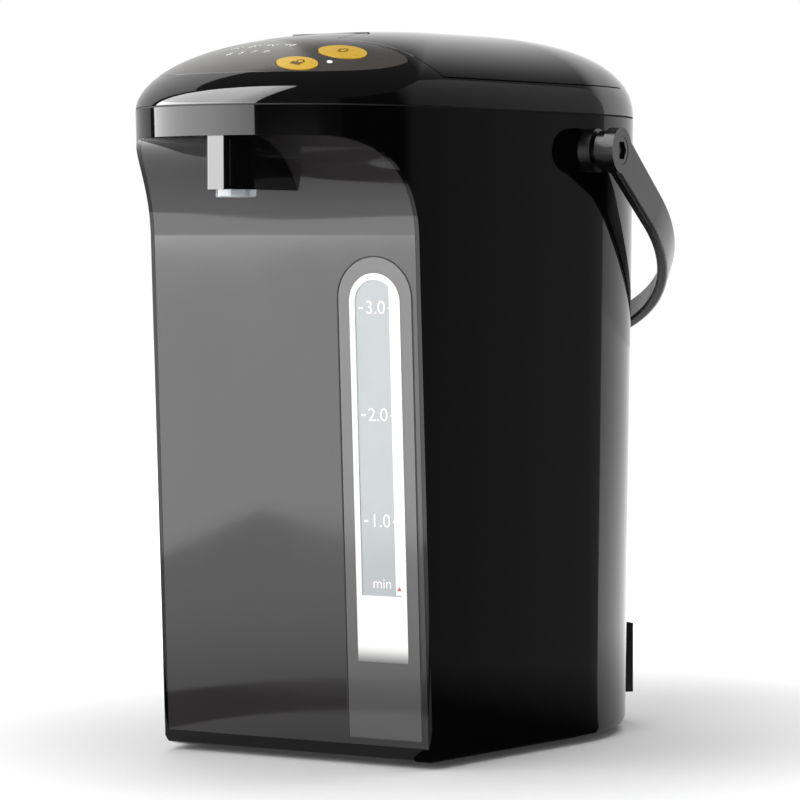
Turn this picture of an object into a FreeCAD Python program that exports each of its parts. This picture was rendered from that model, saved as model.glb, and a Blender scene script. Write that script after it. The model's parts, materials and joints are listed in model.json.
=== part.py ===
"""Electric thermo pot with a flared front panel, a level gauge, a pump, a hinged lid and a bail handle.

Millimetres. +Z is up, the front of the pot looks along -Y and +X is to the right.
The origin is where the vertical axis of the round back meets the table.
"""

import FreeCAD, Part
import math
import os

V = FreeCAD.Vector
X_AXIS = V(1, 0, 0)
Z_AXIS = V(0, 0, 1)

# Heights
FOOT_HEIGHT = 3.0
SEAM_Z = 303.3
DOME_RISE = 40.8
LID_SEAM_Z = 317.5
BEAK_Z = 290.0
PANEL_BOTTOM_Z = 10.0

# Plan of the body: a round back and a smaller round nose, joined by tangent walls
BACK_R = 101.0
BACK_R_FOOT = 97.9
NOSE_R = 73.0
NOSE_Y = -135.0
NOSE_Y_FOOT = -123.0
WALL = 2.5
LIP_ROUND = 4.0

# Front face, which leans forward as it rises and then sweeps out under the beak
FACE_Y_FOOT = -132.8
FACE_LEAN = 12.4
FACE_LEAN_HEIGHT = 240.0
COVE_R = 47.0
PANEL_T = 2.8
PANEL_INSET = 1.9
PANEL_GAP = 0.15
LEDGE_T = 2.0
LEDGE_W = 6.5

# Dome: how square its section is towards the nose, the side and the back
DOME_Y = -32.6
DOME_SHAPE_NOSE = (2.14, 1.76)
DOME_SHAPE_SIDE = (2.90, 2.22)
DOME_SHAPE_BACK = (3.31, 2.47)
DOME_LEVELS = (0.0, 0.12, 0.28, 0.46, 0.64, 0.8, 0.91, 0.97, 0.995)
DOME_WALL = 2.6
SEAM_GAP = 0.9
SPIGOT_DEPTH = 4.0
SPIGOT_UP = 3.0
SPIGOT_T = 1.6
SPIGOT_GAP = 0.15

# Lid outline
LID_FRONT_Y = -130.0
LID_CORNER_R = 25.0
LID_SIDE_INSET = 1.5
LID_GAP = 0.6
LID_BASE_T = 2.0
BULKHEAD_T = 2.0

# Lid hinge
HINGE_Y = 89.0
HINGE_Z = 321.0
HINGE_PIN_R = 2.0
HINGE_NOTCH_HALF = 46.0
HINGE_NOTCH_Y = 82.0
HINGE_BLOCK_HALF = 45.2
HINGE_PIN_HALF = 28.0
LUG_X0 = 20.0
LUG_X1 = 26.0
LUG_R = 4.6
LUG_GAP = 0.4

# Inner pot
VESSEL_R = 80.3
VESSEL_T = 1.0
VESSEL_FLOOR_Z = 65.2
VESSEL_RIM_Z = 303.0
VESSEL_FLANGE_R = 88.0
JACKET_GAP = 0.4
JACKET_T = 8.0
JACKET_TOP_Z = 298.0
MOUTH_R = 79.0
MOUTH_DECK_Z = 311.5
DECK_T = 2.0
MOUTH_WALL = 2.0
PLUG_R = 74.0
PLUG_BOTTOM_Z = 306.0
GASKET_R = 77.3

# Gauge on the front panel
GAUGE_X = 48.0
COVER_HALF = 19.3
COVER_TOP_Z = 235.9
COVER_BOTTOM_Z = 13.0
COVER_T = 1.6
COVER_GAP = 0.3
FRAME_HALF = 13.2
FRAME_TOP_Z = 228.4
FRAME_BOTTOM_Z = 49.0
WINDOW_HALF = 10.3
WINDOW_TOP_Z = 225.3
WINDOW_BOTTOM_Z = 79.9
FRAME_PROUD = 0.3
TUBE_Y = -124.0
TUBE_R = 6.0
TUBE_BORE = 4.5
TUBE_BOTTOM_Z = 58.0
TUBE_TOP_Z = 262.0
REFLECTOR_T = 1.5
JOINT_T = 2.0

# Spout under the beak
SPOUT_HALF = 12.0
SPOUT_FRONT_Y = -203.5
SPOUT_PROW_HALF = 4.4
SPOUT_SHOULDER_Y = -190.0
SPOUT_BOTTOM_Z = 266.0
SPOUT_Y = -186.0
SPOUT_BACK_Y = -140.0
SPOUT_ROUND = 1.2
NOZZLE_R = 9.3
NOZZLE_DROP = 3.4
NOZZLE_BORE = 4.0
PIPE_R = 6.0
PIPE_BORE = 4.5
PIPE_Z = 300.0
PIPE_CLEAR = 0.3

# Control plate and buttons
PLATE_Y = -138.0
PLATE_HALF_X = 62.0
PLATE_HALF_Y = 54.5
PLATE_BACK_Y = -134.2
PLATE_CORNER_R = 5.0
PLATE_T = 0.9
PLATE_GAP = 0.25
DISPENSE_AT = (37.3, -154.2)
DISPENSE_SIZE = (11.5, 10.0)
DISPENSE_NORMAL = (0.208, -0.25, 0.945)
UNLOCK_AT = (27.2, -177.8)
UNLOCK_SIZE = (10.0, 7.5)
UNLOCK_NORMAL = (0.169, -0.369, 0.914)
BUTTON_PROUD = 0.4
BUTTON_DEPTH = 6.0
BUTTON_GAP = 0.35
BUTTON_TRAVEL = 1.5
STEM_R = 2.0
SPRING_R = 4.2
SPRING_T = 0.9
SPRING_GAP = 0.3
LAMP_AT = (39.3, -169.6)
LAMP_R = 1.3
BOARD_Z = 306.5
BOARD_T = 1.6
BOARD_HALF = 46.0
BOARD_Y = (-192.0, -137.0)
BOARD_INSET = 6.0
POSTS = ((-36.0, -150.0), (12.0, -144.0), (-18.0, -182.0), (6.0, -187.0))
POST_R = 2.5

# Bail handle
PIVOT_X = 98.8
PIVOT_Y = -20.8
PIVOT_Z = 286.3
BOSS_R = 10.6
BOSS_NECK_R = 7.0
BOSS_FLANGE_R = 9.5
BOSS_STEPS = (102.5, 104.5, 109.0)
ARM_OUT_X = 115.0
ARM_T = 5.6
ARM_END_R = 11.0
BAIL_HALF_TOP = 10.7
BAIL_HALF_LOW = 7.2
BAIL_TILT = 35.0
BAIL_ARM = 50.0
PIVOT_PIN_R = 2.5
PIVOT_PIN_X = 99.5
PIVOT_HEAD_R = 6.8
PIVOT_HEAD_T = 2.2
PIVOT_HEAD_GAP = 0.2
HEX_R = 4.8
HEX_DEPTH = 1.5
PIVOT_SLACK = 0.06
BAIL_EDGE_R = 1.8

# Swivel base
BASE_Z = 5.0
BASE_TOP_Z = 10.7
BASE_RIM_Z = 9.2
SHELL_LIP_Z = 9.0
SHELL_LIP = 6.5
BASE_GAP = 0.3
DISC_Z = 2.0
DISC_T = 2.2
DISC_R = 84.0
HUB_R = 24.0
HUB_BORE = 19.0
HUB_SLACK = 0.05
HUB_FOOT_R = 16.0
SWIVEL_GAP = 0.3
FOOT_RING = (72.0, 80.0)
RETAINER_R = 30.0
RETAINER_T = 1.6
GLIDE_COUNT = 8
GLIDE_R = 4.0
GLIDE_AT_R = 58.0

# Pump and motor
PUMP_Y = -52.0
MOTOR_R = 18.0
MOTOR_H = 20.0
MOTOR_WALL = 1.5
BEARING_R = 4.0
STATOR_T = 1.4
ROTOR_R = 14.0
ROTOR_H = 14.0
BRACKET_T = 1.5
BRACKET_HALF = 22.5
PUMP_R = 21.0
PUMP_H = 12.0
PUMP_WALL = 2.0
IMPELLER_R = 14.0
IMPELLER_H = 7.0
IMPELLER_HUB = 4.0
IMPELLER_BLADES = 6
BLADE_T = 1.5
SHAFT_R = 1.5
SHAFT_SLACK = 0.05
PORT_R = 4.4
PORT_BORE = 3.2
PORT_LENGTH = 6.0
PORT_X = 12.0
HOSE_R = 6.0
HOSE_BORE = 4.5
HOSE_TURN_Y = -100.0

# Heater, boards and inlet
HEATER_R = 64.0
HEATER_T = 5.0
BAND_Z = 66.0
BAND_H = 24.0
BAND_T = 3.0
BAND_GAP = 0.1
SKIRT_R = 80.0
SKIRT_T = 2.0
THERMOSTAT = (26.0, 12.0, 9.0, 8.0)
SENSOR = (-24.0, 6.0, 4.0, 10.0)
FUSE_R = 2.0
FUSE_HALF = 10.0
FUSE_Y = 32.0
INLET_ANGLE = 50.0
INLET_OUT = 102.5
INLET_IN = 86.0
INLET_HALF = 21.0
INLET_Z = (15.0, 50.0)
SOCKET_HALF = 13.0
SOCKET_DEPTH = 11.0
SOCKET_Z = (24.0, 42.0)
PIN_R = 2.0
INLET_GAP = 0.2
POWER_BOARD_HALF = 30.0
POWER_BOARD_Y = (36.0, 66.0)
POWER_BOARD_Z = 20.0
BOARD_POST_R = 3.0
SCREW_R = 1.25
SCREW_HEAD_R = 1.9
SCREW_HEAD_T = 1.5
SCREW_INSET = 4.6
FRONT_SCREW_Y = -108.0
REAR_SCREW_TURNS = (20, 80, 100, 160)
SCREW_TIP_Z = 5.8
SCREW_SLACK = 0.05

# Lid lever
LEVER_HALF = 19.0
LEVER_Y = (-126.0, -98.0)
LEVER_T = 2.4
LEVER_GAP = 0.5
LEVER_BACK_GAP = 0.8
LEVER_DEPTH = 6.5
LEVER_TRAY_T = 1.3
LEVER_AXIS_Y = -99.6
LEVER_PIN_R = 1.25
LEVER_PIN_SLACK = 0.05
VENT_AT = (0.0, 42.0)
VENT_R = 13.0
VENT_T = 1.6
VENT_TUBE_R = 5.0
VENT_BORE = 3.5
VENT_SLOTS = 5

BIG = 400.0


def vec(x, y, z):
    """A point or direction."""
    return V(x, y, z)


def cylinder(radius, z0, z1, x=0.0, y=0.0):
    """An upright round bar between two heights."""
    return Part.makeCylinder(radius, z1 - z0, vec(x, y, z0))


def ring(outer, inner, z0, z1, x=0.0, y=0.0):
    """An upright tube between two heights."""
    return cylinder(outer, z0, z1, x, y).cut(cylinder(inner, z0 - 1, z1 + 1, x, y))


def bar(radius, start, end):
    """A round bar between two points."""
    along = end.sub(start)
    return Part.makeCylinder(radius, along.Length, start, along)


def block(x0, x1, y0, y1, z0, z1):
    """A box between two corners."""
    return Part.makeBox(x1 - x0, y1 - y0, z1 - z0, vec(x0, y0, z0))


def union(shapes):
    """All the shapes as one."""
    whole = shapes[0]
    for shape in shapes[1:]:
        whole = whole.fuse(shape)
    return whole.removeSplitter()


def group(shapes):
    """Separate solids kept in one sub-part."""
    return Part.makeCompound(shapes)


def hose(points, outer, inner):
    """A tube through straight runs, with a ball at each corner."""
    solids = {}
    for name, radius in (("wall", outer), ("bore", inner)):
        runs = [bar(radius, a, b) for a, b in zip(points[:-1], points[1:])]
        corners = [Part.makeSphere(radius, p) for p in points[1:-1]]
        solids[name] = union(runs + corners)
    first = points[0].sub(points[1]).normalize()
    last = points[-1].sub(points[-2]).normalize()
    ends = [bar(inner, points[0], points[0].add(first)), bar(inner, points[-1], points[-1].add(last))]
    return solids["wall"].cut(solids["bore"]).cut(ends[0]).cut(ends[1])


def pear_wire(z, back_r, back_y, nose_r, nose_y):
    """The plan outline at one height: back arc, wall, nose arc, wall."""
    lean = -(back_r - nose_r) / (back_y - nose_y)
    out = math.sqrt(1 - lean * lean)
    back = vec(back_r * out, back_y + back_r * lean, z)
    nose = vec(nose_r * out, nose_y + nose_r * lean, z)
    back_left = vec(-back.x, back.y, z)
    nose_left = vec(-nose.x, nose.y, z)
    edges = [
        Part.Arc(back, vec(0, back_y + back_r, z), back_left).toShape(),
        Part.makeLine(back_left, nose_left),
        Part.Arc(nose_left, vec(0, nose_y - nose_r, z), nose).toShape(),
        Part.makeLine(nose, back),
    ]
    return Part.Wire(edges)


def body_wire(z, inset=0.0):
    """The body's outline at a height, drawn in by a wall."""
    rise = (z - FOOT_HEIGHT) / (SEAM_Z - FOOT_HEIGHT)
    back_r = BACK_R_FOOT + (BACK_R - BACK_R_FOOT) * rise
    nose_y = NOSE_Y_FOOT + (NOSE_Y - NOSE_Y_FOOT) * rise
    return pear_wire(z, back_r - inset, 0.0, NOSE_R - inset, nose_y)


def body_volume(inset=0.0, z0=FOOT_HEIGHT, z1=SEAM_Z):
    """The body's tapered volume, drawn in by a wall."""
    return Part.makeLoft([body_wire(z0, inset), body_wire(z1, inset)], True, True)


def rounded_body():
    """The outer volume with its bottom edge rounded."""
    low = FOOT_HEIGHT
    wires = [
        body_wire(low, LIP_ROUND),
        body_wire(low + 0.3 * LIP_ROUND, 0.3 * LIP_ROUND),
        body_wire(low + LIP_ROUND, 0.0),
        body_wire(SEAM_Z, 0.0),
    ]
    return Part.makeLoft(wires, True, True)


def lean_vector():
    """Unit vector up the front face, as (y, z)."""
    length = math.hypot(FACE_LEAN, FACE_LEAN_HEIGHT)
    return -FACE_LEAN / length, FACE_LEAN_HEIGHT / length


def face_y(z, depth=0.0):
    """Y of the leaning front face at a height, at a depth behind its surface."""
    up_y, up_z = lean_vector()
    return FACE_Y_FOOT + (z - FOOT_HEIGHT) * up_y / up_z + depth / up_z


def behind_face(depth=0.0, rounded=False):
    """Everything behind the front face and above the beak's underside, at a depth behind the surface."""
    up_y, up_z = lean_vector()
    inward = (up_z, -up_y)
    centre_z = BEAK_Z - COVE_R
    centre_y = face_y(centre_z) - COVE_R / up_z
    radius = COVE_R + depth
    half = math.radians(45.0) + 0.5 * math.atan2(inward[1], inward[0])
    start = vec(0, centre_y + radius * inward[0], centre_z + radius * inward[1])
    middle = vec(0, centre_y + radius * math.cos(half), centre_z + radius * math.sin(half))
    end = vec(0, centre_y, centre_z + radius)
    points = [end, vec(0, -BIG, end.z), vec(0, -BIG, BIG), vec(0, BIG, BIG), vec(0, BIG, -10.0)]
    if rounded:
        bottom = FOOT_HEIGHT
        points += [
            vec(0, face_y(bottom) + LIP_ROUND + 1.0, -10.0),
            vec(0, face_y(bottom) + LIP_ROUND, bottom),
            vec(0, face_y(bottom) + 0.3 * LIP_ROUND, bottom + 0.3 * LIP_ROUND),
            vec(0, face_y(bottom + LIP_ROUND), bottom + LIP_ROUND),
            start,
        ]
    else:
        points += [vec(0, face_y(-10.0, depth), -10.0), start]
    edges = [Part.makeLine(a, b) for a, b in zip(points[:-1], points[1:])]
    edges.append(Part.Arc(start, middle, end).toShape())
    face = Part.Face(Part.Wire(edges))
    face.translate(vec(-BIG / 2, 0, 0))
    return face.extrude(vec(BIG, 0, 0))


def dome_wire(level, inset=0.0):
    """One level section of the dome, from 0 at the seam to 1 at the crown."""
    z = SEAM_Z + (DOME_RISE - inset) * level

    def reach(shape):
        return (1 - level ** shape[1]) ** (1 / shape[0])

    half = BACK_R * reach(DOME_SHAPE_SIDE) - inset
    nose_r = NOSE_R / BACK_R * half
    back_end = DOME_Y + (BACK_R - DOME_Y) * reach(DOME_SHAPE_BACK) - inset
    nose_end = DOME_Y - (DOME_Y - NOSE_Y + NOSE_R) * reach(DOME_SHAPE_NOSE) + inset
    return pear_wire(z, half, back_end - half, nose_r, nose_end + nose_r)


def dome_volume(inset=0.0):
    """The head above the seam, drawn in by a wall."""
    return Part.makeLoft([dome_wire(level, inset) for level in DOME_LEVELS], True, False)


def lid_outline(grow=0.0, y_back=BIG / 2):
    """A prism over the lid: straight front, round corners, and sides that follow the body walls."""
    side = (BACK_R - NOSE_R) / -NOSE_Y
    out = math.sqrt(1 - side * side)
    wall = BACK_R - LID_SIDE_INSET + grow
    front = LID_FRONT_Y - grow
    corner_x = (wall + side * front) / out
    back_x = (wall + side * y_back) / out
    front_right = vec(corner_x, front, 0)
    along = vec(back_x - corner_x, y_back - front, 0).normalize()
    turn = math.acos(-along.x)
    radius = LID_CORNER_R + grow
    reach = radius / math.tan(turn / 2)
    on_front = front_right.add(vec(-reach, 0, 0))
    on_side = front_right.add(vec(along.x * reach, along.y * reach, 0))
    centre = on_front.add(vec(0, radius, 0))
    to_corner = front_right.sub(centre).normalize()
    middle = centre.add(vec(to_corner.x * radius, to_corner.y * radius, 0))

    def left(p):
        return vec(-p.x, p.y, 0)

    back = vec(back_x, y_back, 0)
    edges = [
        Part.makeLine(left(on_front), on_front),
        Part.Arc(on_front, middle, on_side).toShape(),
        Part.makeLine(on_side, back),
        Part.makeLine(back, left(back)),
        Part.makeLine(left(back), left(on_side)),
        Part.Arc(left(on_side), left(middle), left(on_front)).toShape(),
    ]
    return Part.Face(Part.Wire(edges))


def lid_prism(grow, z0, z1=BIG):
    """The lid's outline as a prism between two heights."""
    face = lid_outline(grow)
    face.translate(vec(0, 0, z0))
    return face.extrude(vec(0, 0, z1 - z0))


def ellipse_prism(half_x, half_y, height):
    """An oval bar along Z with its middle at the origin."""
    turn = half_y > half_x
    curve = Part.Ellipse(vec(0, 0, 0), max(half_x, half_y), min(half_x, half_y))
    face = Part.Face(Part.Wire([curve.toShape()]))
    if turn:
        face.rotate(vec(0, 0, 0), Z_AXIS, 90)
    face.translate(vec(0, 0, -height / 2))
    return face.extrude(vec(0, 0, height))


def dome_height(dome, x, y):
    """Height of a dome volume at a place in plan."""
    line = Part.makeLine(vec(x, y, SEAM_Z - 5), vec(x, y, SEAM_Z + 2 * DOME_RISE))
    return dome.common(line).BoundBox.ZMax


def along_normal(shape, normal, place):
    """Turn a shape's Z axis to a normal and put its origin at a place."""
    turned = shape.copy()
    turned.Placement = FreeCAD.Placement(place, FreeCAD.Rotation(Z_AXIS, vec(*normal)))
    return turned


def gauge_outline(half, z0, z1):
    """The gauge's shape in the XZ plane: straight sides and a round top, as a prism through the panel."""
    points = [vec(GAUGE_X - half, 0, z1 - half), vec(GAUGE_X - half, 0, z0)]
    points += [vec(GAUGE_X + half, 0, z0), vec(GAUGE_X + half, 0, z1 - half)]
    edges = [Part.makeLine(a, b) for a, b in zip(points[:-1], points[1:])]
    edges.append(Part.Arc(points[-1], vec(GAUGE_X, 0, z1), points[0]).toShape())
    face = Part.Face(Part.Wire(edges))
    face.translate(vec(0, -BIG / 2, 0))
    return face.extrude(vec(0, BIG, 0))


def layer(front, back):
    """The slab between two depths behind the front face."""
    return behind_face(front).cut(behind_face(back))


def save(name, shape):
    """Write one sub-part."""
    shape.exportStep("parts/" + name + ".step")


def inlet_block(grow, out, z0, z1, half):
    """A box on the rear right of the body, square to the shell."""
    box = block(INLET_IN, out, -half - grow, half + grow, z0 - grow, z1 + grow)
    box.rotate(vec(0, 0, 0), Z_AXIS, INLET_ANGLE)
    return box


def build_shell(parts):
    """The black outer shell and the grey front panel that is let into it."""
    shell = rounded_body().common(behind_face(0.0, True))
    seat = body_volume(PANEL_INSET, PANEL_BOTTOM_Z - PANEL_GAP, SEAM_Z).cut(behind_face(PANEL_T + PANEL_GAP))
    cavity = body_volume(WALL, SHELL_LIP_Z, SEAM_Z).common(behind_face(PANEL_T + PANEL_GAP + LEDGE_T))
    mouth = body_volume(SHELL_LIP, FOOT_HEIGHT, SHELL_LIP_Z).common(behind_face(SHELL_LIP))
    through = body_volume(WALL + LEDGE_W, PANEL_BOTTOM_Z + LEDGE_W, SEAM_Z).common(behind_face(PANEL_T - 1.0))
    shell = shell.cut(seat).cut(cavity).cut(mouth).cut(through)
    shell = shell.cut(inlet_block(INLET_GAP, INLET_OUT + WALL, INLET_Z[0], INLET_Z[1], INLET_HALF))
    for x, y in screw_places():
        shell = shell.cut(cylinder(SCREW_R + SCREW_SLACK, SCREW_TIP_Z - SCREW_SLACK, BASE_TOP_Z, x, y))
    panel = body_volume(PANEL_INSET + PANEL_GAP, PANEL_BOTTOM_Z, SEAM_Z).common(layer(0.0, PANEL_T))
    panel = panel.cut(gauge_outline(COVER_HALF, COVER_BOTTOM_Z, COVER_TOP_Z).common(layer(-1.0, COVER_T)))
    panel = panel.cut(gauge_outline(FRAME_HALF, FRAME_BOTTOM_Z, FRAME_TOP_Z))
    panel = panel.cut(cylinder(PIPE_R + PIPE_CLEAR, BEAK_Z - 5, SEAM_Z, 0, SPOUT_Y))
    parts["outer_shell"] = shell
    parts["front_panel"] = panel


def build_gauge(parts):
    """Cover strip, white frame, window, reflector and level tube."""
    cover = gauge_outline(COVER_HALF - COVER_GAP, COVER_BOTTOM_Z + COVER_GAP, COVER_TOP_Z - COVER_GAP)
    cover = cover.common(layer(0.0, COVER_T))
    frame_hole = gauge_outline(FRAME_HALF, FRAME_BOTTOM_Z, FRAME_TOP_Z)
    parts["gauge_cover"] = cover.cut(frame_hole)
    clear = 0.05
    frame = gauge_outline(FRAME_HALF - clear, FRAME_BOTTOM_Z + clear, FRAME_TOP_Z - clear)
    frame = frame.common(layer(-FRAME_PROUD, PANEL_T))
    window_hole = gauge_outline(WINDOW_HALF, WINDOW_BOTTOM_Z, WINDOW_TOP_Z)
    parts["gauge_frame"] = frame.cut(window_hole)
    window = gauge_outline(WINDOW_HALF - clear, WINDOW_BOTTOM_Z + clear, WINDOW_TOP_Z - clear)
    parts["gauge_window"] = window.common(layer(0.2, 1.4))
    x0, x1 = GAUGE_X - FRAME_HALF, GAUGE_X + FRAME_HALF
    back_y = TUBE_Y + TUBE_R + JOINT_T + PIPE_CLEAR
    plate = block(x0, x1, back_y, back_y + REFLECTOR_T, FRAME_BOTTOM_Z, FRAME_TOP_Z)
    sides = []
    for x in (x0, x1 - REFLECTOR_T):
        side = block(x, x + REFLECTOR_T, -BIG, back_y, FRAME_BOTTOM_Z, FRAME_TOP_Z)
        sides.append(side.common(behind_face(PANEL_T + 0.1)))
    parts["gauge_reflector"] = union([plate] + sides)
    parts["level_tube"] = ring(TUBE_R, TUBE_BORE, TUBE_BOTTOM_Z, TUBE_TOP_Z, GAUGE_X, TUBE_Y)


def build_water_path(parts):
    """Joints, pipes and the spout."""
    low = TUBE_BOTTOM_Z
    cuff = TUBE_R + JOINT_T
    parts["tube_joints"] = group([
        ring(cuff, TUBE_R + 0.02, low - 8, low + 10, GAUGE_X, TUBE_Y),
        ring(cuff, TUBE_R + 0.02, TUBE_TOP_Z - 8, TUBE_TOP_Z + 6, GAUGE_X, TUBE_Y),
    ])
    route = [
        vec(GAUGE_X, TUBE_Y, TUBE_TOP_Z + 0.2),
        vec(GAUGE_X, TUBE_Y, PIPE_Z),
        vec(0, SPOUT_Y, PIPE_Z),
        vec(0, SPOUT_Y, SPOUT_BOTTOM_Z + 0.2),
    ]
    parts["outlet_pipe"] = hose(route, PIPE_R, PIPE_BORE)
    right = [
        vec(SPOUT_PROW_HALF, SPOUT_FRONT_Y, 0),
        vec(SPOUT_HALF, SPOUT_SHOULDER_Y, 0),
        vec(SPOUT_HALF, SPOUT_BACK_Y, 0),
    ]
    left = [vec(-p.x, p.y, 0) for p in reversed(right)]
    plan = Part.Face(Part.makePolygon(right + left + right[:1]))
    plan.translate(vec(0, 0, SPOUT_BOTTOM_Z))
    cover = plan.extrude(vec(0, 0, BEAK_Z + 5 - SPOUT_BOTTOM_Z))
    upright = [e for e in cover.Edges if e.BoundBox.ZLength > 10 and e.BoundBox.YMax < SPOUT_BACK_Y - 1]
    cover = cover.makeFillet(SPOUT_ROUND, upright).cut(behind_face(-0.05))
    cover = cover.cut(cylinder(PIPE_R + PIPE_CLEAR, SPOUT_BOTTOM_Z - 5, BEAK_Z + 10, 0, SPOUT_Y))
    parts["spout_cover"] = cover
    nozzle = cylinder(NOZZLE_R, SPOUT_BOTTOM_Z - NOZZLE_DROP, SPOUT_BOTTOM_Z, 0, SPOUT_Y)
    rims = [e for e in nozzle.Edges if e.BoundBox.ZLength < 0.01 and e.BoundBox.ZMax < SPOUT_BOTTOM_Z - 1]
    nozzle = nozzle.makeFillet(0.8, rims)
    parts["spout_nozzle"] = nozzle.cut(cylinder(NOZZLE_BORE, 0, SEAM_Z, 0, SPOUT_Y))


def screw_places():
    """Places of the base screws, in the shell's bottom lip."""
    places = []
    for turn in REAR_SCREW_TURNS:
        reach = BACK_R_FOOT - SCREW_INSET
        places.append((reach * math.cos(math.radians(turn)), reach * math.sin(math.radians(turn))))
    lean = (BACK_R_FOOT - NOSE_R) / -NOSE_Y_FOOT
    out = math.sqrt(1 - lean * lean)
    x = (BACK_R_FOOT - SCREW_INSET + lean * FRONT_SCREW_Y) / out
    places += [(-x, FRONT_SCREW_Y), (x, FRONT_SCREW_Y)]
    return places


def build_pot(parts):
    """Inner vessel, seals, insulation, heaters and the skirt that carries the vessel."""
    outer = VESSEL_R + VESSEL_T
    floor = VESSEL_FLOOR_Z - VESSEL_T
    body = cylinder(outer, floor, VESSEL_RIM_Z).fuse(cylinder(VESSEL_FLANGE_R, VESSEL_RIM_Z - VESSEL_T, VESSEL_RIM_Z))
    body = body.fuse(cylinder(PORT_R, floor - 8, floor, 0, PUMP_Y)).removeSplitter()
    body = body.cut(cylinder(VESSEL_R, VESSEL_FLOOR_Z, VESSEL_RIM_Z + 1))
    parts["inner_vessel"] = body.cut(cylinder(PORT_BORE, floor - 9, VESSEL_FLOOR_Z + 1, 0, PUMP_Y))
    lip = ring(VESSEL_FLANGE_R, PLUG_R + 1, VESSEL_RIM_Z, VESSEL_RIM_Z + 1.2)
    neck = ring(MOUTH_R - 0.1, PLUG_R + 1, VESSEL_RIM_Z + 1.2, PLUG_BOTTOM_Z - 0.3)
    parts["vessel_seal"] = union([lip, neck])
    jacket = outer + JACKET_GAP
    parts["insulation_jacket"] = ring(jacket + JACKET_T, jacket, BAND_Z + BAND_H + 2, JACKET_TOP_Z)
    parts["band_heater"] = ring(outer + BAND_GAP + BAND_T, outer + BAND_GAP, BAND_Z, BAND_Z + BAND_H)
    plate = cylinder(HEATER_R, floor - HEATER_T, floor)
    parts["heater_plate"] = plate.cut(cylinder(HOSE_R + 2, 0, SEAM_Z, 0, PUMP_Y))
    under = floor - HEATER_T
    x, y, radius, height = THERMOSTAT
    parts["thermostat"] = cylinder(radius, under - height, under, x, y)
    x, y, radius, height = SENSOR
    parts["temperature_sensor"] = cylinder(radius, under - height, under, x, y)
    z = under - FUSE_R
    parts["thermal_fuse"] = bar(FUSE_R, vec(-FUSE_HALF, FUSE_Y, z), vec(FUSE_HALF, FUSE_Y, z))
    skirt = ring(SKIRT_R, SKIRT_R - SKIRT_T, BASE_TOP_Z, floor)
    z = pump_port_z()
    way = bar(HOSE_R + 2, vec(PORT_X, PUMP_Y, z), vec(PORT_X, PUMP_Y + HOSE_TURN_Y, z))
    parts["support_skirt"] = skirt.cut(way)


def pump_base_z():
    """Height of the pump housing's floor."""
    return BASE_TOP_Z + BRACKET_T + MOTOR_H + BRACKET_T


def pump_port_z():
    """Height of the pump's side port."""
    return pump_base_z() + PUMP_H / 2


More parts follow.
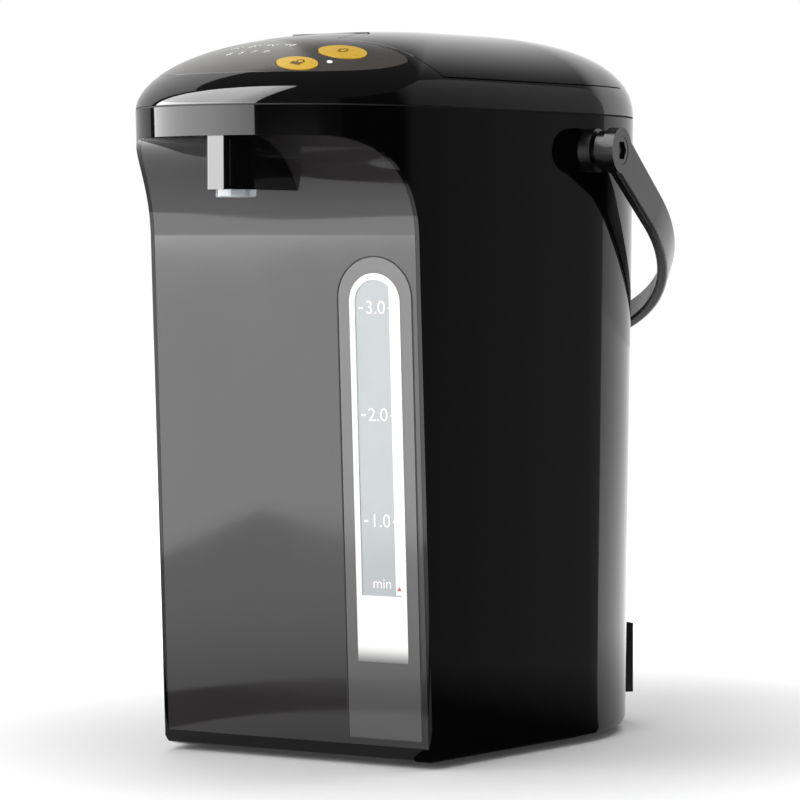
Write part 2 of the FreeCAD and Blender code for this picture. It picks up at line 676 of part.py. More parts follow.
def build_pump(parts):
    """Motor, pump, hoses and brackets under the vessel."""
    y = PUMP_Y
    low = BASE_TOP_Z
    parts["motor_bracket"] = block(-BRACKET_HALF, BRACKET_HALF, y - BRACKET_HALF, y + 21, low, low + BRACKET_T)
    case_z = low + BRACKET_T
    top = case_z + MOTOR_H
    case = cylinder(MOTOR_R, case_z, top, 0, y)
    inner = cylinder(MOTOR_R - MOTOR_WALL, case_z + MOTOR_WALL, top + 1, 0, y)
    bearing = cylinder(BEARING_R, case_z + MOTOR_WALL, case_z + 2 * MOTOR_WALL, 0, y)
    hole = cylinder(SHAFT_R + SHAFT_SLACK, case_z + 0.7, top, 0, y)
    parts["motor_case"] = case.cut(inner).fuse(bearing).cut(hole)
    rotor_z = case_z + 2 * MOTOR_WALL + 0.5
    stator = MOTOR_R - MOTOR_WALL - 0.05
    parts["motor_stator"] = ring(stator, stator - STATOR_T, rotor_z, rotor_z + ROTOR_H, 0, y)
    parts["motor_rotor"] = ring(ROTOR_R, SHAFT_R, rotor_z, rotor_z + ROTOR_H, 0, y)
    pump_z = pump_base_z()
    plate = cylinder(PUMP_R, top, pump_z, 0, y)
    parts["pump_bracket"] = plate.cut(cylinder(SHAFT_R + SHAFT_SLACK, top - 1, pump_z + 1, 0, y))
    parts["motor_shaft"] = cylinder(SHAFT_R, case_z + 0.9, pump_z + PUMP_WALL + 0.8 + IMPELLER_H, 0, y)
    pump_top = pump_z + PUMP_H
    port_z = pump_port_z()
    port_y = y - PUMP_R - PORT_LENGTH
    housing = cylinder(PUMP_R, pump_z, pump_top, 0, y)
    housing = housing.fuse(bar(PORT_R, vec(PORT_X, y, port_z), vec(PORT_X, port_y, port_z)))
    housing = housing.cut(cylinder(PUMP_R - PUMP_WALL, pump_z + PUMP_WALL, pump_top + 1, 0, y))
    housing = housing.cut(bar(PORT_BORE, vec(PORT_X, y, port_z), vec(PORT_X, port_y - 1, port_z)))
    parts["pump_housing"] = housing.cut(cylinder(SHAFT_R + SHAFT_SLACK, pump_z - 1, pump_top, 0, y))
    cover_top = pump_top + PUMP_WALL
    cover = cylinder(PUMP_R, pump_top, cover_top, 0, y).fuse(
        cylinder(PORT_R, pump_top, cover_top + PORT_LENGTH, 0, y))
    parts["pump_cover"] = cover.cut(cylinder(PORT_BORE, pump_top - 1, SEAM_Z, 0, y))
    blade_z = pump_z + PUMP_WALL + 0.8
    blades = [cylinder(IMPELLER_HUB, blade_z, blade_z + IMPELLER_H, 0, y),
              cylinder(IMPELLER_R, blade_z, blade_z + 1.5, 0, y)]
    for k in range(IMPELLER_BLADES):
        blade = block(0, IMPELLER_R, -BLADE_T / 2, BLADE_T / 2, blade_z, blade_z + IMPELLER_H)
        blade.rotate(vec(0, 0, 0), Z_AXIS, 360 / IMPELLER_BLADES * k)
        blade.translate(vec(0, y, 0))
        blades.append(blade)
    impeller = union(blades).common(cylinder(IMPELLER_R, 0, SEAM_Z, 0, y))
    parts["pump_impeller"] = impeller.cut(cylinder(SHAFT_R, 0, SEAM_Z, 0, y))
    vessel_bottom = VESSEL_FLOOR_Z - VESSEL_T
    suction = ring(HOSE_R, HOSE_BORE, cover_top + 0.2, vessel_bottom - 0.3, 0, y)
    route = [
        vec(PORT_X, y - PUMP_R - 0.5, port_z),
        vec(PORT_X, HOSE_TURN_Y, port_z),
        vec(GAUGE_X, TUBE_Y, port_z),
        vec(GAUGE_X, TUBE_Y, TUBE_BOTTOM_Z - 0.2),
    ]
    parts["pump_hoses"] = group([suction, hose(route, HOSE_R, HOSE_BORE)])


def build_base(parts):
    """Base plate, swivel, feet, power board and the power inlet."""
    plate = body_volume(SHELL_LIP + BASE_GAP, BASE_Z, BASE_RIM_Z).common(behind_face(SHELL_LIP + BASE_GAP))
    depth = PANEL_T + PANEL_GAP + LEDGE_T + BASE_GAP
    rim = body_volume(WALL + BASE_GAP, BASE_RIM_Z, BASE_TOP_Z).common(behind_face(depth))
    plate = plate.fuse(rim)
    for x in (-24, 24):
        for y in (POWER_BOARD_Y[0] + 4, POWER_BOARD_Y[1] - 4):
            plate = plate.fuse(cylinder(BOARD_POST_R, BASE_TOP_Z - 0.1, POWER_BOARD_Z, x, y))
    plate = plate.cut(cylinder(HUB_R, 0, BASE_TOP_Z + 1))
    screws = []
    for x, y in screw_places():
        plate = plate.cut(cylinder(SCREW_R + SCREW_SLACK, BASE_Z - 1, BASE_TOP_Z + 1, x, y))
        shank = cylinder(SCREW_R, SCREW_TIP_Z, BASE_TOP_Z, x, y)
        head = cylinder(SCREW_HEAD_R, BASE_TOP_Z, BASE_TOP_Z + SCREW_HEAD_T, x, y)
        screws.append(shank.fuse(head).removeSplitter())
    parts["base_plate"] = plate.removeSplitter()
    parts["base_screws"] = group(screws)
    hub = HUB_R - HUB_SLACK
    hub_top = BASE_TOP_Z + SWIVEL_GAP
    disc = cylinder(DISC_R, DISC_Z, DISC_Z + DISC_T)
    parts["swivel_disc"] = union([disc, ring(hub, HUB_BORE, DISC_Z + 1, hub_top), cylinder(HUB_FOOT_R, 0, DISC_Z)])
    parts["swivel_retainer"] = ring(RETAINER_R, HUB_BORE, hub_top, hub_top + RETAINER_T)
    parts["foot_ring"] = ring(FOOT_RING[1], FOOT_RING[0], 0, DISC_Z)
    glides = []
    for k in range(GLIDE_COUNT):
        turn = math.radians(360 / GLIDE_COUNT * k)
        x, y = GLIDE_AT_R * math.cos(turn), GLIDE_AT_R * math.sin(turn)
        glides.append(cylinder(GLIDE_R, DISC_Z + DISC_T, BASE_Z - SWIVEL_GAP, x, y))
    parts["swivel_glides"] = group(glides)
    y0, y1 = POWER_BOARD_Y
    top = POWER_BOARD_Z + BOARD_T
    parts["power_board"] = group([
        block(-POWER_BOARD_HALF, POWER_BOARD_HALF, y0, y1, POWER_BOARD_Z, top),
        block(-26, -6, y0 + 6, y0 + 22, top, top + 14),
        cylinder(6, top, top + 16, 6, y0 + 15),
        block(15, 27, y0 + 4, y0 + 24, top, top + 10),
    ])
    inlet = inlet_block(0, INLET_OUT, INLET_Z[0], INLET_Z[1], INLET_HALF)
    socket = block(INLET_OUT - SOCKET_DEPTH, INLET_OUT + 1, -SOCKET_HALF, SOCKET_HALF, SOCKET_Z[0], SOCKET_Z[1])
    pins = []
    middle = (SOCKET_Z[0] + SOCKET_Z[1]) / 2
    for side in (-1, 1):
        y = side * SOCKET_HALF / 2
        pins.append(bar(PIN_R, vec(INLET_OUT - SOCKET_DEPTH, y, middle), vec(INLET_OUT - 3, y, middle)))
    pins = group(pins)
    for shape in (socket, pins):
        shape.rotate(vec(0, 0, 0), Z_AXIS, INLET_ANGLE)
    inlet = inlet.cut(socket)
    shelf = body_volume(WALL + BASE_GAP, BASE_TOP_Z, INLET_Z[0]).common(inlet_block(0, INLET_OUT, 0, BIG, 8.0))
    parts["inlet_housing"] = inlet.fuse(shelf).removeSplitter()
    parts["inlet_pins"] = pins


def plate_prism(grow):
    """The control plate's outline as a prism: an oval cut off straight behind, with round corners."""
    oval = ellipse_prism(PLATE_HALF_X + grow, PLATE_HALF_Y + grow, BIG)
    oval.translate(vec(0, PLATE_Y, SEAM_Z))
    oval = oval.common(block(-BIG, BIG, -BIG, PLATE_BACK_Y + grow, SEAM_Z - 1, BIG / 2 + SEAM_Z - 1))
    back_y = PLATE_BACK_Y + grow
    upright = [e for e in oval.Edges if e.BoundBox.ZLength > 100]
    corners = [e for e in upright if abs(e.BoundBox.Center.y - back_y) < 0.5]
    return oval.makeFillet(PLATE_CORNER_R + grow, corners)


def build_button(parts, name, dome, lifted, place, size, normal):
    """One oval button with its stem and spring. Returns the hole that it needs."""
    z = dome_height(dome, *place)
    at = vec(place[0], place[1], z)
    n = vec(*normal).normalize()
    prism = along_normal(ellipse_prism(size[0], size[1], 40), normal, at)
    below = Part.makeBox(80, 80, 80, vec(-40, -40, -80))
    under = along_normal(below, normal, at.sub(vec(n.x * BUTTON_DEPTH, n.y * BUTTON_DEPTH, n.z * BUTTON_DEPTH)))
    cap = prism.common(lifted).cut(under)
    board_top = BOARD_Z + BOARD_T
    seat = at.sub(vec(n.x * BUTTON_DEPTH, n.y * BUTTON_DEPTH, n.z * BUTTON_DEPTH))
    stem_length = (seat.z - board_top - BUTTON_TRAVEL - 0.6) / n.z
    tip = seat.sub(vec(n.x * stem_length, n.y * stem_length, n.z * stem_length))
    stem = bar(STEM_R, tip, seat.add(vec(n.x, n.y, n.z)))
    stem = stem.cut(block(-BIG, BIG, -BIG, BIG, 0, board_top + BUTTON_TRAVEL + 0.4))
    parts[name + "_button"] = cap.fuse(stem).removeSplitter()
    reach = (seat.z - board_top) / n.z + 4
    foot = seat.sub(vec(n.x * reach, n.y * reach, n.z * reach))
    end = seat.sub(vec(n.x * 0.05, n.y * 0.05, n.z * 0.05))
    spring = bar(SPRING_R, foot, end).cut(bar(SPRING_R - SPRING_T, foot, seat))
    parts[name + "_spring"] = spring.cut(block(-BIG, BIG, -BIG, BIG, 0, board_top + 0.02))
    return along_normal(ellipse_prism(size[0] + BUTTON_GAP, size[1] + BUTTON_GAP, 40), normal, at)


def build_head(parts, dome, dome_inner):
    """The fixed head with its bulkhead, plate, buttons, lamp and control board."""
    housing = dome.cut(dome_inner)
    wall = lid_prism(LID_GAP + BULKHEAD_T, PIPE_Z + PIPE_R + PIPE_CLEAR).cut(lid_prism(LID_GAP, SEAM_Z))
    housing = housing.fuse(wall.common(dome_volume(DOME_WALL - 0.5)))
    housing = housing.cut(lid_prism(LID_GAP, LID_SEAM_Z))
    low, high = SEAM_Z - SPIGOT_DEPTH, SEAM_Z + SPIGOT_UP
    spigot = body_volume(WALL + SPIGOT_GAP, low, high).cut(body_volume(WALL + SPIGOT_GAP + SPIGOT_T, low - 1, high + 1))
    join = body_volume(WALL - 0.5, SEAM_Z + SEAM_GAP, high)
    join = join.cut(body_volume(WALL + SPIGOT_GAP + SPIGOT_T, low - 1, high + 1))
    housing = housing.cut(block(-BIG, BIG, -BIG, BIG, 0, SEAM_Z + SEAM_GAP))
    housing = union([housing, join.common(dome), spigot])
    board_top = BOARD_Z + BOARD_T
    inside = dome_volume(DOME_WALL - 1.0)
    for x, y in POSTS:
        housing = housing.fuse(cylinder(POST_R, board_top, SEAM_Z + 2 * DOME_RISE, x, y).common(inside))
    skin = dome.cut(dome_volume(PLATE_T))
    recess = dome.cut(dome_volume(PLATE_T + 0.05))
    housing = housing.cut(plate_prism(PLATE_GAP).common(recess))
    plate = plate_prism(0.0).common(skin)
    lifted = dome_volume(-BUTTON_PROUD)
    holes = [
        build_button(parts, "dispense", dome, lifted, DISPENSE_AT, DISPENSE_SIZE, DISPENSE_NORMAL),
        build_button(parts, "unlock", dome, lifted, UNLOCK_AT, UNLOCK_SIZE, UNLOCK_NORMAL),
    ]
    for hole in holes:
        housing = housing.cut(hole)
        plate = plate.cut(hole)
    lamp_x, lamp_y = LAMP_AT
    hole = cylinder(LAMP_R + 0.05, SEAM_Z, SEAM_Z + 2 * DOME_RISE, lamp_x, lamp_y)
    housing = housing.cut(hole)
    plate = plate.cut(hole)
    lamp = cylinder(LAMP_R, board_top, SEAM_Z + 2 * DOME_RISE, lamp_x, lamp_y)
    parts["indicator_lens"] = lamp.common(dome_volume(-0.15))
    sweep = LUG_R + LUG_GAP
    across = LUG_X1 + LUG_GAP
    housing = housing.cut(bar(sweep, vec(-across, HINGE_Y, HINGE_Z), vec(across, HINGE_Y, HINGE_Z)))
    parts["top_housing"] = housing.removeSplitter()
    parts["control_plate"] = plate
    board = block(-BOARD_HALF, BOARD_HALF, BOARD_Y[0], BOARD_Y[1], BOARD_Z, board_top)
    parts["control_board"] = board.common(dome_volume(BOARD_INSET))
    deck = lid_prism(LID_GAP - 0.15, MOUTH_DECK_Z, MOUTH_DECK_Z + DECK_T).common(dome_volume(DOME_WALL + 0.15))
    funnel = ring(MOUTH_R + MOUTH_WALL, MOUTH_R, VESSEL_RIM_Z + 1.3, MOUTH_DECK_Z + DECK_T)
    deck = deck.cut(cylinder(MOUTH_R, SEAM_Z, BIG)).fuse(funnel).removeSplitter()
    parts["mouth_ring"] = deck


def build_hinge(parts, dome):
    """The fixed hinge block behind the lid, and its pin."""
    deck_top = MOUTH_DECK_Z + DECK_T
    half = HINGE_BLOCK_HALF
    knuckle = HINGE_Y - HINGE_NOTCH_Y - LID_GAP
    axis = [vec(-half, HINGE_Y, HINGE_Z), vec(half, HINGE_Y, HINGE_Z)]
    low = block(-half, half, HINGE_Y - knuckle, BIG, deck_top, HINGE_Z - knuckle / 2)
    shape = low.fuse(bar(knuckle, *axis)).fuse(block(-half, half, HINGE_Y, BIG, deck_top, BIG))
    clear = LID_SEAM_Z + LID_GAP
    above = shape.common(dome).common(block(-BIG, BIG, -BIG, BIG, clear, BIG))
    below = shape.common(dome_volume(DOME_WALL + 0.15)).common(block(-BIG, BIG, -BIG, BIG, deck_top, clear))
    solid = above.fuse(below)
    for side in (-1, 1):
        x0, x1 = sorted((side * (LUG_X0 - LUG_GAP), side * (LUG_X1 + LUG_GAP)))
        solid = solid.cut(block(x0, x1, HINGE_NOTCH_Y - 1, BIG, HINGE_Z - LUG_R - LUG_GAP, BIG))
    ends = [vec(-HINGE_PIN_HALF, HINGE_Y, HINGE_Z), vec(HINGE_PIN_HALF, HINGE_Y, HINGE_Z)]
    solid = solid.cut(bar(HINGE_PIN_R + 0.03, *ends))
    parts["hinge_block"] = solid.removeSplitter()
    parts["hinge_pin"] = bar(HINGE_PIN_R, *ends)


def lug(side, grow=0.0):
    """One of the lid's hinge lugs."""
    x0, x1 = sorted((side * (LUG_X0 - grow), side * (LUG_X1 + grow)))
    low = LID_SEAM_Z + LID_GAP
    arm = block(x0, x1, HINGE_NOTCH_Y - 8, HINGE_Y, low - grow, HINGE_Z + 1.5 + grow)
    disc = bar(LUG_R + grow, vec(x0, HINGE_Y, HINGE_Z), vec(x1, HINGE_Y, HINGE_Z))
    return arm.fuse(disc)


def build_lid(parts, dome, dome_inner):
    """Lid cover, base, plug, gasket, steam vent and lever."""
    low = LID_SEAM_Z + LID_GAP
    notch = block(-HINGE_NOTCH_HALF, HINGE_NOTCH_HALF, HINGE_NOTCH_Y, BIG, SEAM_Z, BIG)
    wall_notch = block(-HINGE_NOTCH_HALF - 2, HINGE_NOTCH_HALF + 2, HINGE_NOTCH_Y - 2, BIG, SEAM_Z, BIG)
    cover = dome.common(lid_prism(0.0, low)).cut(notch)
    hollow = dome_inner.common(lid_prism(-BULKHEAD_T, low - 1)).cut(wall_notch)
    y0, y1 = LEVER_Y
    x = LEVER_HALF + LEVER_GAP
    pocket_y0, pocket_y1 = y0 - LEVER_GAP, y1 + LEVER_BACK_GAP
    axis_z = dome_height(dome, 0, LEVER_AXIS_Y) - LEVER_T / 2
    floor = axis_z - LEVER_DEPTH
    t = LEVER_TRAY_T
    tray = block(-x - t, x + t, pocket_y0 - t, pocket_y1 + t, floor - t, BIG).common(dome)
    pocket = block(-x, x, pocket_y0, pocket_y1, floor, BIG)
    cover = cover.cut(hollow).fuse(tray.common(lid_prism(-0.5, low))).cut(pocket)
    reach = x + t
    ends = (vec(-reach, LEVER_AXIS_Y, axis_z), vec(reach, LEVER_AXIS_Y, axis_z))
    cover = cover.cut(bar(LEVER_PIN_R + LEVER_PIN_SLACK, *ends))
    for side in (-1, 1):
        cover = cover.cut(lug(side, 0.2))
    vent_x, vent_y = VENT_AT
    vent_hole = cylinder(VENT_R + 0.2, SEAM_Z, BIG, vent_x, vent_y).cut(dome_volume(VENT_T + 0.05))
    cover = cover.cut(vent_hole).cut(cylinder(VENT_TUBE_R + 0.1, SEAM_Z, BIG, vent_x, vent_y))
    parts["lid_cover"] = cover.removeSplitter()
    lever = block(-LEVER_HALF, LEVER_HALF, y0, y1, SEAM_Z, BIG).common(dome).cut(dome_volume(LEVER_T))
    ends = (vec(0.4 - reach, LEVER_AXIS_Y, axis_z), vec(reach - 0.4, LEVER_AXIS_Y, axis_z))
    lever = lever.fuse(bar(LEVER_PIN_R, *ends))
    parts["lid_lever"] = lever.removeSplitter()
    base = dome_volume(DOME_WALL + 0.15).common(lid_prism(-BULKHEAD_T - 0.15, low, low + LID_BASE_T))
    base = base.cut(block(-HINGE_NOTCH_HALF - 2.2, HINGE_NOTCH_HALF + 2.2, HINGE_NOTCH_Y - 2.2, BIG, SEAM_Z, BIG))
    for side in (-1, 1):
        base = base.fuse(lug(side))
    base = base.cut(bar(HINGE_PIN_R + 0.05, vec(-BIG, HINGE_Y, HINGE_Z), vec(BIG, HINGE_Y, HINGE_Z)))
    parts["lid_base"] = base.cut(cylinder(VENT_TUBE_R + 0.1, SEAM_Z, BIG, vent_x, vent_y)).removeSplitter()
    plug = cylinder(PLUG_R, PLUG_BOTTOM_Z, low).cut(cylinder(PLUG_R - 1.5, PLUG_BOTTOM_Z + 1.2, low + 1))
    parts["lid_plug"] = plug.cut(cylinder(VENT_BORE, SEAM_Z, BIG, vent_x, vent_y))
    parts["lid_gasket"] = ring(GASKET_R, PLUG_R + 0.02, PLUG_BOTTOM_Z, PLUG_BOTTOM_Z + 3)
    vent_top = dome_height(dome, vent_x, vent_y) - VENT_T - 0.6
    parts["steam_tube"] = ring(VENT_TUBE_R, VENT_BORE, PLUG_BOTTOM_Z + 1.2, vent_top, vent_x, vent_y)
    vent = cylinder(VENT_R, SEAM_Z, BIG, vent_x, vent_y).common(dome).cut(dome_volume(VENT_T))
    for k in range(VENT_SLOTS):
        y = vent_y + (k - (VENT_SLOTS - 1) / 2) * 4.2
        vent = vent.cut(block(-7, 7, y - 0.9, y + 0.9, SEAM_Z, BIG))
    parts["steam_vent"] = vent


def hexagon(radius, x0, x1):
    """A hexagonal bar along X."""
    points = [vec(0, radius * math.cos(math.pi / 3 * k), radius * math.sin(math.pi / 3 * k)) for k in range(7)]
    face = Part.Face(Part.makePolygon(points))
    face.translate(vec(x0, 0, 0))
    return face.extrude(vec(x1 - x0, 0, 0))


def build_handle(parts):
    """The bail, the two bosses that it turns on and their screws."""
    inner_x = ARM_OUT_X - ARM_T

    def outline(half, length):
        points = [vec(-half, 0, 0), vec(-half, BAIL_ARM, 0), vec(half, BAIL_ARM, 0), vec(half, 0, 0)]
        arc = Part.Arc(points[1], vec(0, length, 0), points[2]).toShape()
        edges = [Part.makeLine(points[0], points[1]), arc, Part.makeLine(points[2], points[3])]
        edges.append(Part.makeLine(points[3], points[0]))
        return Part.Face(Part.Wire(edges)).extrude(vec(0, 0, 2 * BAIL_HALF_TOP))

    band = outline(ARM_OUT_X, BAIL_ARM + ARM_OUT_X).cut(outline(inner_x, BAIL_ARM + inner_x))
    band.translate(vec(0, 0, -BAIL_HALF_TOP))
    end_y = BAIL_ARM + ARM_OUT_X
    corners = [vec(-BIG, 0, BAIL_HALF_TOP), vec(-BIG, end_y, BAIL_HALF_LOW)]
    corners += [vec(-BIG, p.y, -p.z) for p in reversed(corners)]
    band = band.common(Part.Face(Part.makePolygon(corners + corners[:1])).extrude(vec(2 * BIG, 0, 0)))
    long_edges = [e for e in band.Edges if e.BoundBox.YLength > BAIL_ARM - 1]
    band = band.makeFillet(BAIL_EDGE_R, long_edges)
    head_x = ARM_OUT_X - PIVOT_HEAD_T - PIVOT_HEAD_GAP
    pins = []
    bosses = []
    for side in (-1, 1):
        def along(x):
            return vec(side * x, 0, 0)
        band = band.fuse(bar(ARM_END_R, along(inner_x), along(ARM_OUT_X)))
        band = band.cut(bar(PIVOT_PIN_R + PIVOT_SLACK, along(inner_x - 1), along(ARM_OUT_X + 1)))
        band = band.cut(bar(PIVOT_HEAD_R + 2 * PIVOT_SLACK, along(head_x - PIVOT_HEAD_GAP), along(ARM_OUT_X + 1)))
        x0 = PIVOT_X - 6
        neck, flange, outer = BOSS_STEPS
        boss = bar(BOSS_R, along(x0), along(neck))
        boss = boss.fuse(bar(BOSS_NECK_R, along(neck - 1), along(flange)))
        boss = boss.fuse(bar(BOSS_FLANGE_R, along(flange), along(outer)))
        boss = boss.cut(bar(PIVOT_PIN_R, along(PIVOT_PIN_X), along(outer + 1)))
        boss.translate(vec(0, PIVOT_Y, PIVOT_Z))
        bosses.append(boss.cut(body_volume(0.0)).removeSplitter())
        head_end = ARM_OUT_X - PIVOT_HEAD_GAP
        pin = bar(PIVOT_PIN_R, along(PIVOT_PIN_X), along(head_x + 0.5))
        pin = pin.fuse(bar(PIVOT_HEAD_R, along(head_x), along(head_end)))
        x0, x1 = sorted((side * (head_end - HEX_DEPTH), side * (head_end + 1)))
        pin = pin.cut(hexagon(HEX_R, x0, x1)).removeSplitter()
        pin.translate(vec(0, PIVOT_Y, PIVOT_Z))
        pins.append(pin)
    band = band.removeSplitter()
    band.rotate(vec(0, 0, 0), X_AXIS, -BAIL_TILT)
    band.translate(vec(0, PIVOT_Y, PIVOT_Z))
    parts["handle_bail"] = band
    parts["handle_bosses"] = group(bosses)
    parts["handle_screws"] = group(pins)


def main():
    """Build and write every sub-part."""
    os.makedirs("parts", exist_ok=True)
    parts = {}
    dome = dome_volume()
    dome_inner = dome_volume(DOME_WALL)
    build_shell(parts)
    build_gauge(parts)
    build_water_path(parts)
    build_pot(parts)
    build_pump(parts)
    build_base(parts)
    build_head(parts, dome, dome_inner)
    build_hinge(parts, dome)
    build_lid(parts, dome, dome_inner)
    build_handle(parts)
    for name, shape in parts.items():
        save(name, shape)
        print(name, shape.isValid(), len(shape.Solids), round(shape.Volume))


main()
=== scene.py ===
"""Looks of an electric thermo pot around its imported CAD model.

Metres, in the frame of the CAD model: +Z up, the front along -Y, +X to the right.
"""

import json
import logging
import math
from dataclasses import dataclass, field
from enum import Enum
from typing import Callable, Optional, Sequence

import bmesh
import bpy
import numpy as np
from mathutils import Matrix, Vector

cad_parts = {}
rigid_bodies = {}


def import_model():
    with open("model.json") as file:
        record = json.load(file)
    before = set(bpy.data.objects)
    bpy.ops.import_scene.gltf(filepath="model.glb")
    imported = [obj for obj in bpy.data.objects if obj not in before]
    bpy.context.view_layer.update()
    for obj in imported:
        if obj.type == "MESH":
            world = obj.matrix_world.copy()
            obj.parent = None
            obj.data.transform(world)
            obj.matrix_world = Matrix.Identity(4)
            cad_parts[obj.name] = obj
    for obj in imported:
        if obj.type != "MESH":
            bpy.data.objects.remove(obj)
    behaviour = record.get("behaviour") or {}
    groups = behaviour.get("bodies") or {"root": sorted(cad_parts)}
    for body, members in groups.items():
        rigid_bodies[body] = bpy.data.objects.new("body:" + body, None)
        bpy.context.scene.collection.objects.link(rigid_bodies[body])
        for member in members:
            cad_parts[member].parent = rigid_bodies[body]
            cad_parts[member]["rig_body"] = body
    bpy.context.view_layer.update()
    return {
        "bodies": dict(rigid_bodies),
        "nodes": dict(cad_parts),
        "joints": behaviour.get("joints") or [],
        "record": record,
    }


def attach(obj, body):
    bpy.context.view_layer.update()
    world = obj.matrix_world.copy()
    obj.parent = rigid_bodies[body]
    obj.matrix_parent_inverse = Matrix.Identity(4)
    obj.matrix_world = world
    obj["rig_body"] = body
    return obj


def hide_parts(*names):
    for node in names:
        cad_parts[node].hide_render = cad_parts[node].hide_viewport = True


LOG = logging.getLogger("thermo_pot")
MM = 0.001
NormalField = Callable[[np.ndarray], tuple[np.ndarray, np.ndarray]]
# Detail of the fine and the coarse noise, and the span of the coarse one that the roughness follows
GRAIN_DETAIL = 3.0
HAZE_DETAIL = 4.0
HAZE_SPAN = (0.3, 0.7)
# The sockets of the Mix node that carry colours
MIX_FIRST, MIX_SECOND, MIX_RESULT = 6, 7, 2
# Half the distance in millimetres over which a surface's slope is measured
SLOPE_STEP = 0.05
# Height of a capital as a share of the font's size
CAPITAL_SHARE = 0.7


class Body(Enum):
    """The CAD bodies that pieces ride on."""

    POT = "pot"
    LID = "lid"
    LEVER = "lever"
    DISPENSE = "dispense"
    UNLOCK = "unlock"
    HANDLE = "handle"
    SWIVEL = "swivel"
    ROTOR = "rotor"


def linear(code: str) -> tuple[float, float, float, float]:
    """Turn an sRGB hex colour to linear.

    Args:
        code: Six hex digits after a hash.

    Returns:
        Red, green, blue and an alpha of 1.
    """
    levels = [int(code[i:i + 2], 16) / 255 for i in (1, 3, 5)]
    turned = [v / 12.92 if v <= 0.04045 else ((v + 0.055) / 1.055) ** 2.4 for v in levels]
    return (turned[0], turned[1], turned[2], 1.0)


def add_node(tree: bpy.types.NodeTree, kind: str, settings: Optional[dict] = None,
             links: Optional[dict] = None) -> bpy.types.Node:
    """Add a node with its settings and links.

    Args:
        tree: The tree to add to.
        kind: The node's type name.
        settings: Input socket names or numbers, or attributes, with their values.
        links: Input socket names or numbers with the output sockets that feed them.

    Returns:
        The new node.
    """
    node = tree.nodes.new(kind)
    for key, value in (settings or {}).items():
        if isinstance(key, int) or key in node.inputs:
            node.inputs[key].default_value = value
        else:
            setattr(node, key, value)
    for key, source in (links or {}).items():
        tree.links.new(source, node.inputs[key])
    return node


def bare_material(name: str) -> bpy.types.Material:
    """Make a material whose node tree is empty."""
    made = bpy.data.materials.new(name)
    made.use_nodes = True
    made.node_tree.nodes.clear()
    return made


def link_object(shape: bmesh.types.BMesh, name: str) -> bpy.types.Object:
    """Turn a bmesh into an object of the scene.

    Args:
        shape: The bmesh, which is freed.
        name: The name of the object and of its mesh.

    Returns:
        The object.
    """
    mesh = bpy.data.meshes.new(name)
    shape.to_mesh(mesh)
    shape.free()
    made = bpy.data.objects.new(name, mesh)
    bpy.context.scene.collection.objects.link(made)
    return made


@dataclass(frozen=True)
class Finish:
    """A surface finish, with its grain and its wear at real sizes."""

    name: str
    colour: str
    roughness: float
    metallic: float = 0.0
    ior: float = 1.5
    transmission: float = 0.0
    grain_mm: float = 0.6
    grain_depth_mm: float = 0.002
    stretch: tuple[float, float, float] = (1.0, 1.0, 1.0)
    haze: float = 0.03
    haze_mm: float = 35.0
    tint: float = 0.06
    glow: float = 0.0
    fade_to: str = ""
    fade_z_mm: tuple[float, float] = (0.0, 0.0)

    def material(self) -> bpy.types.Material:
        """Build the material, or return the one that was built before."""
        found = bpy.data.materials.get(self.name)
        if found:
            return found
        made = bare_material(self.name)
        tree = made.node_tree
        place = add_node(tree, "ShaderNodeTexCoord")
        grain_map = add_node(tree, "ShaderNodeMapping", {"Scale": self.stretch},
                             {"Vector": place.outputs["Object"]})
        grain = add_node(tree, "ShaderNodeTexNoise",
                         {"Scale": 1.0 / (self.grain_mm * MM), "Detail": GRAIN_DETAIL},
                         {"Vector": grain_map.outputs[0]})
        bump = add_node(tree, "ShaderNodeBump", {"Strength": 1.0, "Distance": self.grain_depth_mm * MM},
                        {"Height": grain.outputs["Fac"]})
        cloud = add_node(tree, "ShaderNodeTexNoise",
                         {"Scale": 1.0 / (self.haze_mm * MM), "Detail": HAZE_DETAIL},
                         {"Vector": place.outputs["Object"]})
        rough = add_node(tree, "ShaderNodeMapRange",
                         {"From Min": HAZE_SPAN[0], "From Max": HAZE_SPAN[1],
                          "To Min": max(self.roughness - self.haze, 0.0),
                          "To Max": self.roughness + self.haze}, {"Value": cloud.outputs["Fac"]})
        base = linear(self.colour)
        dark = tuple(c * (1 - self.tint) for c in base[:3]) + (1.0,)
        light = tuple(min(c * (1 + self.tint), 1.0) for c in base[:3]) + (1.0,)
        colour = add_node(tree, "ShaderNodeMix", {"data_type": "RGBA", MIX_FIRST: dark, MIX_SECOND: light},
                          {0: cloud.outputs["Fac"]}).outputs[MIX_RESULT]
        # Fade to another colour towards the bottom: print on the gauge frame, painted shade on the gauge
        # cover
        if self.fade_to:
            split = add_node(tree, "ShaderNodeSeparateXYZ", links={"Vector": place.outputs["Object"]})
            low, high = (z * MM for z in self.fade_z_mm)
            share = add_node(tree, "ShaderNodeMapRange", {"From Min": low, "From Max": high,
                                                          "interpolation_type": "SMOOTHSTEP"},
                             {"Value": split.outputs["Z"]})
            colour = add_node(tree, "ShaderNodeMix", {"data_type": "RGBA", MIX_FIRST: linear(self.fade_to)},
                              {0: share.outputs[0], MIX_SECOND: colour}).outputs[MIX_RESULT]
        settings = {"Metallic": self.metallic, "Transmission Weight": self.transmission}
        if not self.metallic:
            settings["IOR"] = self.ior
        if self.glow:
            settings["Emission Color"] = base
            settings["Emission Strength"] = self.glow
        shader = add_node(tree, "ShaderNodeBsdfPrincipled", settings,
                          {"Base Color": colour, "Roughness": rough.outputs[0], "Normal": bump.outputs[0]})
        add_node(tree, "ShaderNodeOutputMaterial", links={"Surface": shader.outputs[0]})
        return made


# High-gloss moulded ABS: deep black with sharp reflections and a faint orange peel
PIANO_BLACK_ABS = Finish("piano_black_abs", "#040405", 0.05, ior=1.36, grain_mm=3.0, grain_depth_mm=0.0008,
                         haze=0.02)
